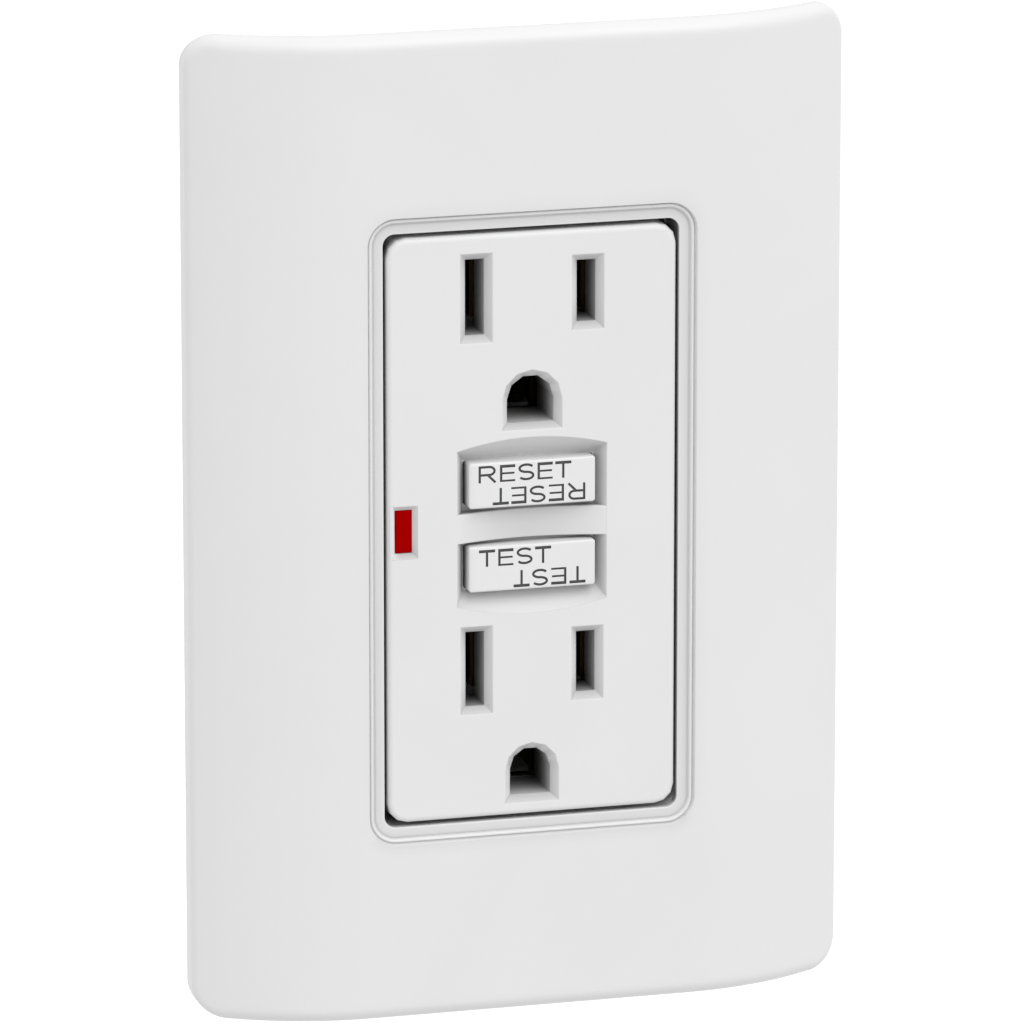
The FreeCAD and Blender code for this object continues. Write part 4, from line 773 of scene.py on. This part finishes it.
button = dict(
    halfW=7.2, halfH=2.57, frontY=-9.4, edgeR=0.25, sideR=0.85, cornerR=0.3, wordDepth=0.16,
    darkAbove={"reset": 0.12, "test": 0.5}, wallDark=(0.9, 0.5, 0.06), flangeOver=0.8, flangeHalfH=3.3,
    flangeThick=0.9, flangeEdge=0.12)
letter = dict(
    stroke=0.27, topStroke=0.33, armStroke=0.22, high=1.92,
    wide={"R": 2.08, "E": 1.74, "S": 1.83, "T": 1.84}, gap=0.36, gapBeforeT=0.28)
words = {"reset": [("RESET", -6.18, 5.18, False), ("RESET", -4.57, 2.58, True)],
         "test": [("TEST", -6.14, -4.36, False), ("TEST", -2.19, -6.93, True)]}


def barLoop(x0, z0, x1, z1, stroke=letter["stroke"]):
    # Straight stroke from one point to another
    line = np.array([x1 - x0, z1 - z0], float)
    off = np.array([-line[1], line[0]]) / np.hypot(*line) * stroke / 2
    start, end = np.array([x0, z0]), np.array([x1, z1])
    return np.array([start + off, start - off, end - off, end + off])


def ribbonLoop(path):
    # Curved stroke: the path moved half the letters' width to each side
    line = np.gradient(path, axis=0)
    off = np.c_[-line[:, 1], line[:, 0]] / np.hypot(*line.T)[:, None] * letter["stroke"] / 2
    return np.concatenate([path + off, (path - off)[::-1]])


def letterLoops(name):
    h, w, t = letter["high"], letter["wide"][name], letter["stroke"]
    middle, top, base, left = h / 2, h - t / 2, t / 2, t / 2
    heavy = letter["topStroke"]
    topBar = barLoop(0, h - heavy / 2, w, h - heavy / 2, heavy)
    if name == "T":
        return [topBar, barLoop(w / 2, 0, w / 2, h)]
    if name == "E":
        arm = letter["armStroke"]
        return [barLoop(left, 0, left, h), topBar, barLoop(0, middle, w * 0.95, middle, arm),
                barLoop(0, arm / 2, w, arm / 2, arm)]
    if name == "R":
        # bowl: half an ellipse between two level strokes
        angle = np.linspace(np.pi / 2, -np.pi / 2, 17)
        turnX, low = w * 0.6, h * 0.46
        bowl = np.c_[turnX + (w * 0.94 - t / 2 - turnX) * np.cos(angle),
                     (top + low) / 2 + (top - low) / 2 * np.sin(angle)]
        level = np.linspace(0, turnX, 6)[:-1]
        path = np.concatenate([np.c_[level, np.full(5, top)], bowl, np.c_[level[::-1], np.full(5, low)]])
        return [barLoop(left, 0, left, h), ribbonLoop(path), barLoop(w * 0.5, low, w - t * 0.55, 0)]
    # S: the upper ellipse from its right to the middle, then the lower one from the middle to its left
    upper, lower = np.radians(np.linspace(28, 270, 22)), np.radians(np.linspace(90, -152, 22))
    wide, tall = w / 2 - t / 2, (h - t) / 4
    path = np.concatenate([np.c_[w / 2 + wide * np.cos(upper), top - tall + tall * np.sin(upper)],
                           np.c_[w / 2 + wide * np.cos(lower), base + tall + tall * np.sin(lower)][1:]])
    return [ribbonLoop(path)]


def wordLoops(word, x0, z0, turned):
    # Letters side by side from (x0, z0); a turned word stands on its head in the same box
    loops, x = [], 0.0
    for number, name in enumerate(word):
        if number:
            x += letter["gapBeforeT"] if name == "T" else letter["gap"]
        loops += [loop + (x, 0) for loop in letterLoops(name)]
        x += letter["wide"][name]
    box = np.array([x, letter["high"]])
    return [(box - loop if turned else loop) + (x0, z0) for loop in loops]


def pushButton(name, centreZ, flangeY, stemR, stemEnd):
    b = button
    skin = Skin()

    def loopAt(across, up):
        return roundedLoop(b["halfW"] - across, b["halfH"] - up, b["cornerR"], 6, 16, 8, 0, centreZ)[0]

    # the front edge rolls over by quarter ellipses, wider at the sides than above and below
    rings = [lift(loopAt(0, 0), y) for y in (flangeY + 0.1, b["frontY"] + 2.0, b["frontY"] + 1.1)]
    rings += [lift(loopAt(b["sideR"] * out, b["edgeR"] * out), b["frontY"] + b["edgeR"] * rise)
              for out, rise in zip(*quarterTurn(9))]
    top = loopAt(b["sideR"] + 0.04, b["edgeR"] + 0.04)
    rings.append(lift(top, b["frontY"]))
    # painted shade down the button's sides and on its back; on the top side less for RESET, more for TEST
    # under the bridge
    dark = spread([*b["wallDark"], *[0] * (len(rings) - 3)], len(top))
    dark[1, rings[0][:, 2] > centreZ + b["halfH"] - 0.1] = b["darkAbove"][name]
    skin.grid(rings, dark)
    skin.cap(rings[0], b["wallDark"][0])
    marks = [loop for word in words[name] for loop in wordLoops(*word)]
    engraved(skin, top, marks, b["frontY"] + b["wordDepth"], b["frontY"])
    over, tall, thick = b["halfW"] + b["flangeOver"], b["flangeHalfH"], b["flangeThick"]
    softBlock(skin, (-over, flangeY, centreZ - tall), (over, flangeY + thick, centreZ + tall),
              b["flangeEdge"])
    start = flangeY + thick - 0.2
    stem = [(stemR, 0), (stemR, stemEnd - start - 0.15), (stemR - 0.15, stemEnd - start)]
    lathe(skin, (0, start, centreZ), (0, 1, 0), stem, 32)
    finishPiece(name + "Button", skin, name, "button_plastic", [name + "_button"], 40, [wordInk])


pushButton("reset", face["buttonZ"][0], -5.0, 2.1, -3.6)
pushButton("test", face["buttonZ"][1], -6.5, 1.6, 0.35)
print("buttons ready")


def crossLoops(length, width):
    # Two bars that cross in the middle, from half their length and width
    bar = np.array([(length, -width), (length, width), (-length, width), (-length, -width)], float)
    return [bar, bar[:, ::-1]]


def drivenHead(skin, origin, direction, radius, height, drive, rim=0.25, sides=48):
    # Head that stands out against `direction`: side, rounded shoulder, a slope as wide and high as rim,
    # and a flat top with a cross cut in it
    side, other, line = basisFor(direction)
    shoulder = min(0.55, height * 0.4)
    flat = radius - shoulder - rim
    profile = [(radius * 0.4, 0.02), (radius, 0.0), (radius, -height + shoulder + rim)]
    profile += [(radius - shoulder * out, rim - height + shoulder * rise)
                for out, rise in zip(*quarterTurn(7))]
    profile.append((flat, -height))
    ring = unitRing(side, other, sides)
    rings = [np.array(origin) + r * ring + h * line for r, h in profile]
    skin.grid(rings)
    skin.cap(rings[0])

    def onHead(points):
        # the cut goes down through 0.6 of the head
        depth = points[:, 1:2] * height * 0.6 - height
        return np.array(origin) + points[:, 0:1] * side + points[:, 2:3] * other + depth * line

    engraved(skin, flat * unitRing((1, 0), (0, 1), sides), crossLoops(*drive), 1.0, 0.0, 0, onHead)


def screwPiece(name, places, slotName, stands, headR, headH, neck, stud, drive=(1.9, 0.28)):
    # places are (origin under the head, direction); neck is (radius, to) and stud (radius, from, to)
    skin = Skin()
    for origin, direction in places:
        drivenHead(skin, origin, direction, headR, headH, drive)
        if neck:
            lathe(skin, origin, direction, [(neck[0], -0.05), neck], 28)
        start = np.array(origin) + np.multiply(direction, stud[1])
        threadedRod(skin, start, direction, stud[2] - stud[1], stud[0])
    finishPiece(name, skin, "device", slotName, [stands], 30)


screwPiece("boxScrews", [((0, -1.45, sz * 41.65), (0, 1, 0)) for sz in (1, -1)], "zinc_steel", "box_screws",
           3.4, 1.6, (1.6, 2.9), (1.75, 2.85, 23.45))
screwPiece("plateScrews", [((0, -3.1, sz * 48.4), (0, 1, 0)) for sz in (1, -1)], "zinc_steel", "plate_screws",
           3.4, 1.6, None, (1.75, 0, 6.1))
screwPiece("groundScrew", [((-13.0, 4.6, -40.0), (1, 0, 0))], "green_steel", "ground_screw", 3.6, 2.0,
           None, (1.9, 0, 4.3), (2.2, 0.4))
for label, slotName in (("neutral", "zinc_steel"), ("hot", "screw_brass")):
    side = 1 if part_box(label + "_terminal_screws")[1][0] > 0 else -1
    screwPiece(label + "TerminalScrews", [((side * 18.9, 6.0, sz * 22.0), (-side, 0, 0)) for sz in (1, -1)],
               slotName, label + "_terminal_screws", 3.6, 2.0, None, (1.9, 0, 2.8), (2.2, 0.4))
screwPiece("housingScrews", [((sx * 14.3, 28.45, sz * 30.3), (0, -1, 0)) for sx in (1, -1) for sz in (1, -1)],
           "zinc_steel", "housing_screws", 2.4, 1.4, None, (1.4, 0, 34.3), (1.3, 0.22))
print("screws ready")


def helixSpring(name, node, start, direction, length, meanR, wireR, turns):
    # origin + R (cos a s + sin a t) + h(a) d, with the last turn at each end closed up
    side, other, line = basisFor(direction)
    angle = np.linspace(0, turns * 2 * np.pi, turns * 40)[:, None]
    share = angle / angle[-1]
    height = wireR + (length - 2 * wireR) * (share - 0.35 / turns * np.sin(2 * np.pi * share))
    path = np.array(start, float) + meanR * (np.cos(angle) * side + np.sin(angle) * other) + height * line
    skin = Skin()
    wireAlong(skin, path, wireR)
    return finishPiece(name, skin, "device", "spring_steel", [node])


seam = dict(halfW=20.0, halfH=33.5, cornerR=2.0, thick=0.4, y=(11.85, 12.6))


def housingSeam():
    # Tongue inside the joint of frame and housing, which closes the line of sight through it
    outer, away = roundedLoop(seam["halfW"], seam["halfH"], seam["cornerR"], 8, 1, 1)
    inner, (front, back) = outer - away * seam["thick"], seam["y"]
    skin = Skin()
    skin.grid([lift(outer, front), lift(inner, front), lift(inner, back), lift(outer, back)], closeRows=True)
    finishPiece("housingSeam", skin, "device", "housing_plastic")


housingSeam()
# What bends or is squeezed in a pose
resetSpring = helixSpring("resetSpring", "reset_spring", (0, -3.45, 4.8), (0, 1, 0), 5.9, 1.8, 0.28, 4)
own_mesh(resetSpring)
plungerSpring = helixSpring("plungerSpring", "plunger_spring", (0, 16.0, -26.55), (0, 0, 1),
                            3.55, 1.65, 0.2, 3)
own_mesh(plungerSpring)
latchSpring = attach(cleanCopy("latch_spring"), "carriage")
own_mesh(latchSpring)
testLeaf = cleanCopy("test_leaf", np.arange(-0.75, 12.6, 0.75), (1, 0, 0))
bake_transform(testLeaf)
for name in ("neutral_contact_arm", "hot_contact_arm"):
    arm = cleanCopy(name, np.arange(6.5, 9.8, 0.3))
    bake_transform(arm)

for name, width in (("rear_housing", 0.5), ("center_frame", 0.3), ("mounting_plate", 0.25),
                    ("yoke_strap", 0.2), ("screw_retainers", 0.12)):
    softCopy(name, width)
kept = {name: solid for name, solid in nodes.items() if not solid.hide_render}
for name, solid in kept.items():
    solid.data.materials.clear()
    solid.data.materials.append(jawBrass if name in jawNodes else finishes[slotOfNode[name]])
print("other nodes dressed:", len(kept))


studio = dict(
    floorZ=-0.25, floorHalf=6.0, floorTone=0.6, floorChange=0.005, floorSeen=0.98, floorGlow=0.12,
    sky=0.945, key={"place": (0.75, -2.0, 2.7), "size": 2.6, "power": 41.0})


def studioFloor():
    mesh = bpy.data.meshes.new("studioFloor")
    reach, z = studio["floorHalf"], studio["floorZ"]
    corners = [(x * reach, y * reach, z) for x, y in ((-1, -1), (1, -1), (1, 1), (-1, 1))]
    mesh.from_pydata(corners, [], [(0, 1, 2, 3)])
    floor = addObject("studioFloor", mesh)
    material, tree, shader = newMaterial("floorPale")
    seen = addNode(tree, "Group", node_tree=seenByCamera).outputs["Seen"]
    cloud = noise(tree, addNode(tree, "TexCoord").outputs["Object"], 3.0, 2.0)
    tone, change = studio["floorTone"], studio["floorChange"]
    lit = remap(tree, cloud, (0.0, 1.0), (tone - change, tone + change))
    mixed = addNode(tree, "Mix", {"Factor": seen, 2: lit, 3: studio["floorSeen"]}).outputs[0]
    connect(tree, shader, {"Base Color": mixed, "Roughness": 0.9, **noSheen,
                           "Emission Strength": maths(tree, "MULTIPLY", seen, studio["floorGlow"]),
                           "Emission Color": (1, 1, 1, 1)})
    mesh.materials.append(material)


def aim(holder, place, back):
    # Puts a lamp or camera at a place, looking along -back, level across
    side = np.cross((0, 0, 1), back)
    side /= np.linalg.norm(side)
    turn = Matrix(np.c_[side, np.cross(back, side), back].tolist()).to_4x4()
    holder.matrix_world = Matrix.Translation(place.tolist()) @ turn


def studioLight():
    world = bpy.data.worlds.new("softStudio")
    scene.world = world
    world.use_nodes = True
    tree = world.node_tree
    seen = addNode(tree, "Group", node_tree=seenByCamera).outputs["Seen"]
    level = addNode(tree, "Mix", {"Factor": seen, 2: studio["sky"], 3: 1.0}).outputs[0]
    connect(tree, tree.nodes["Background"], {"Color": (1, 1, 1, 1), "Strength": level})
    key = studio["key"]
    lamp = bpy.data.lights.new("keySoftbox", "AREA")
    lamp.size, lamp.energy = key["size"], key["power"]
    place = np.array(key["place"])
    aim(addObject("keySoftbox", lamp), place, place / np.linalg.norm(place))


# as fitted to the photograph: degrees and millimetres
view = dict(target=(-2.31, -9.2, 1.63), azimuth=-15.33, elevation=14.52, distance=1011.2, lens=322.8)


def photographCamera():
    a, e = np.radians(view["azimuth"]), np.radians(view["elevation"])
    back = np.array([np.sin(a) * np.cos(e), -np.cos(a) * np.cos(e), np.sin(e)])
    camera = bpy.data.cameras.new("photograph")
    camera.lens, camera.sensor_width, camera.clip_start, camera.clip_end = view["lens"], 36, 0.05, 50
    scene.camera = addObject("photograph", camera)
    aim(scene.camera, (np.array(view["target"]) + back * view["distance"]) * millimetre, back)


studioFloor()
studioLight()
photographCamera()
scene.view_settings.view_transform = "Standard"
print("studio ready")
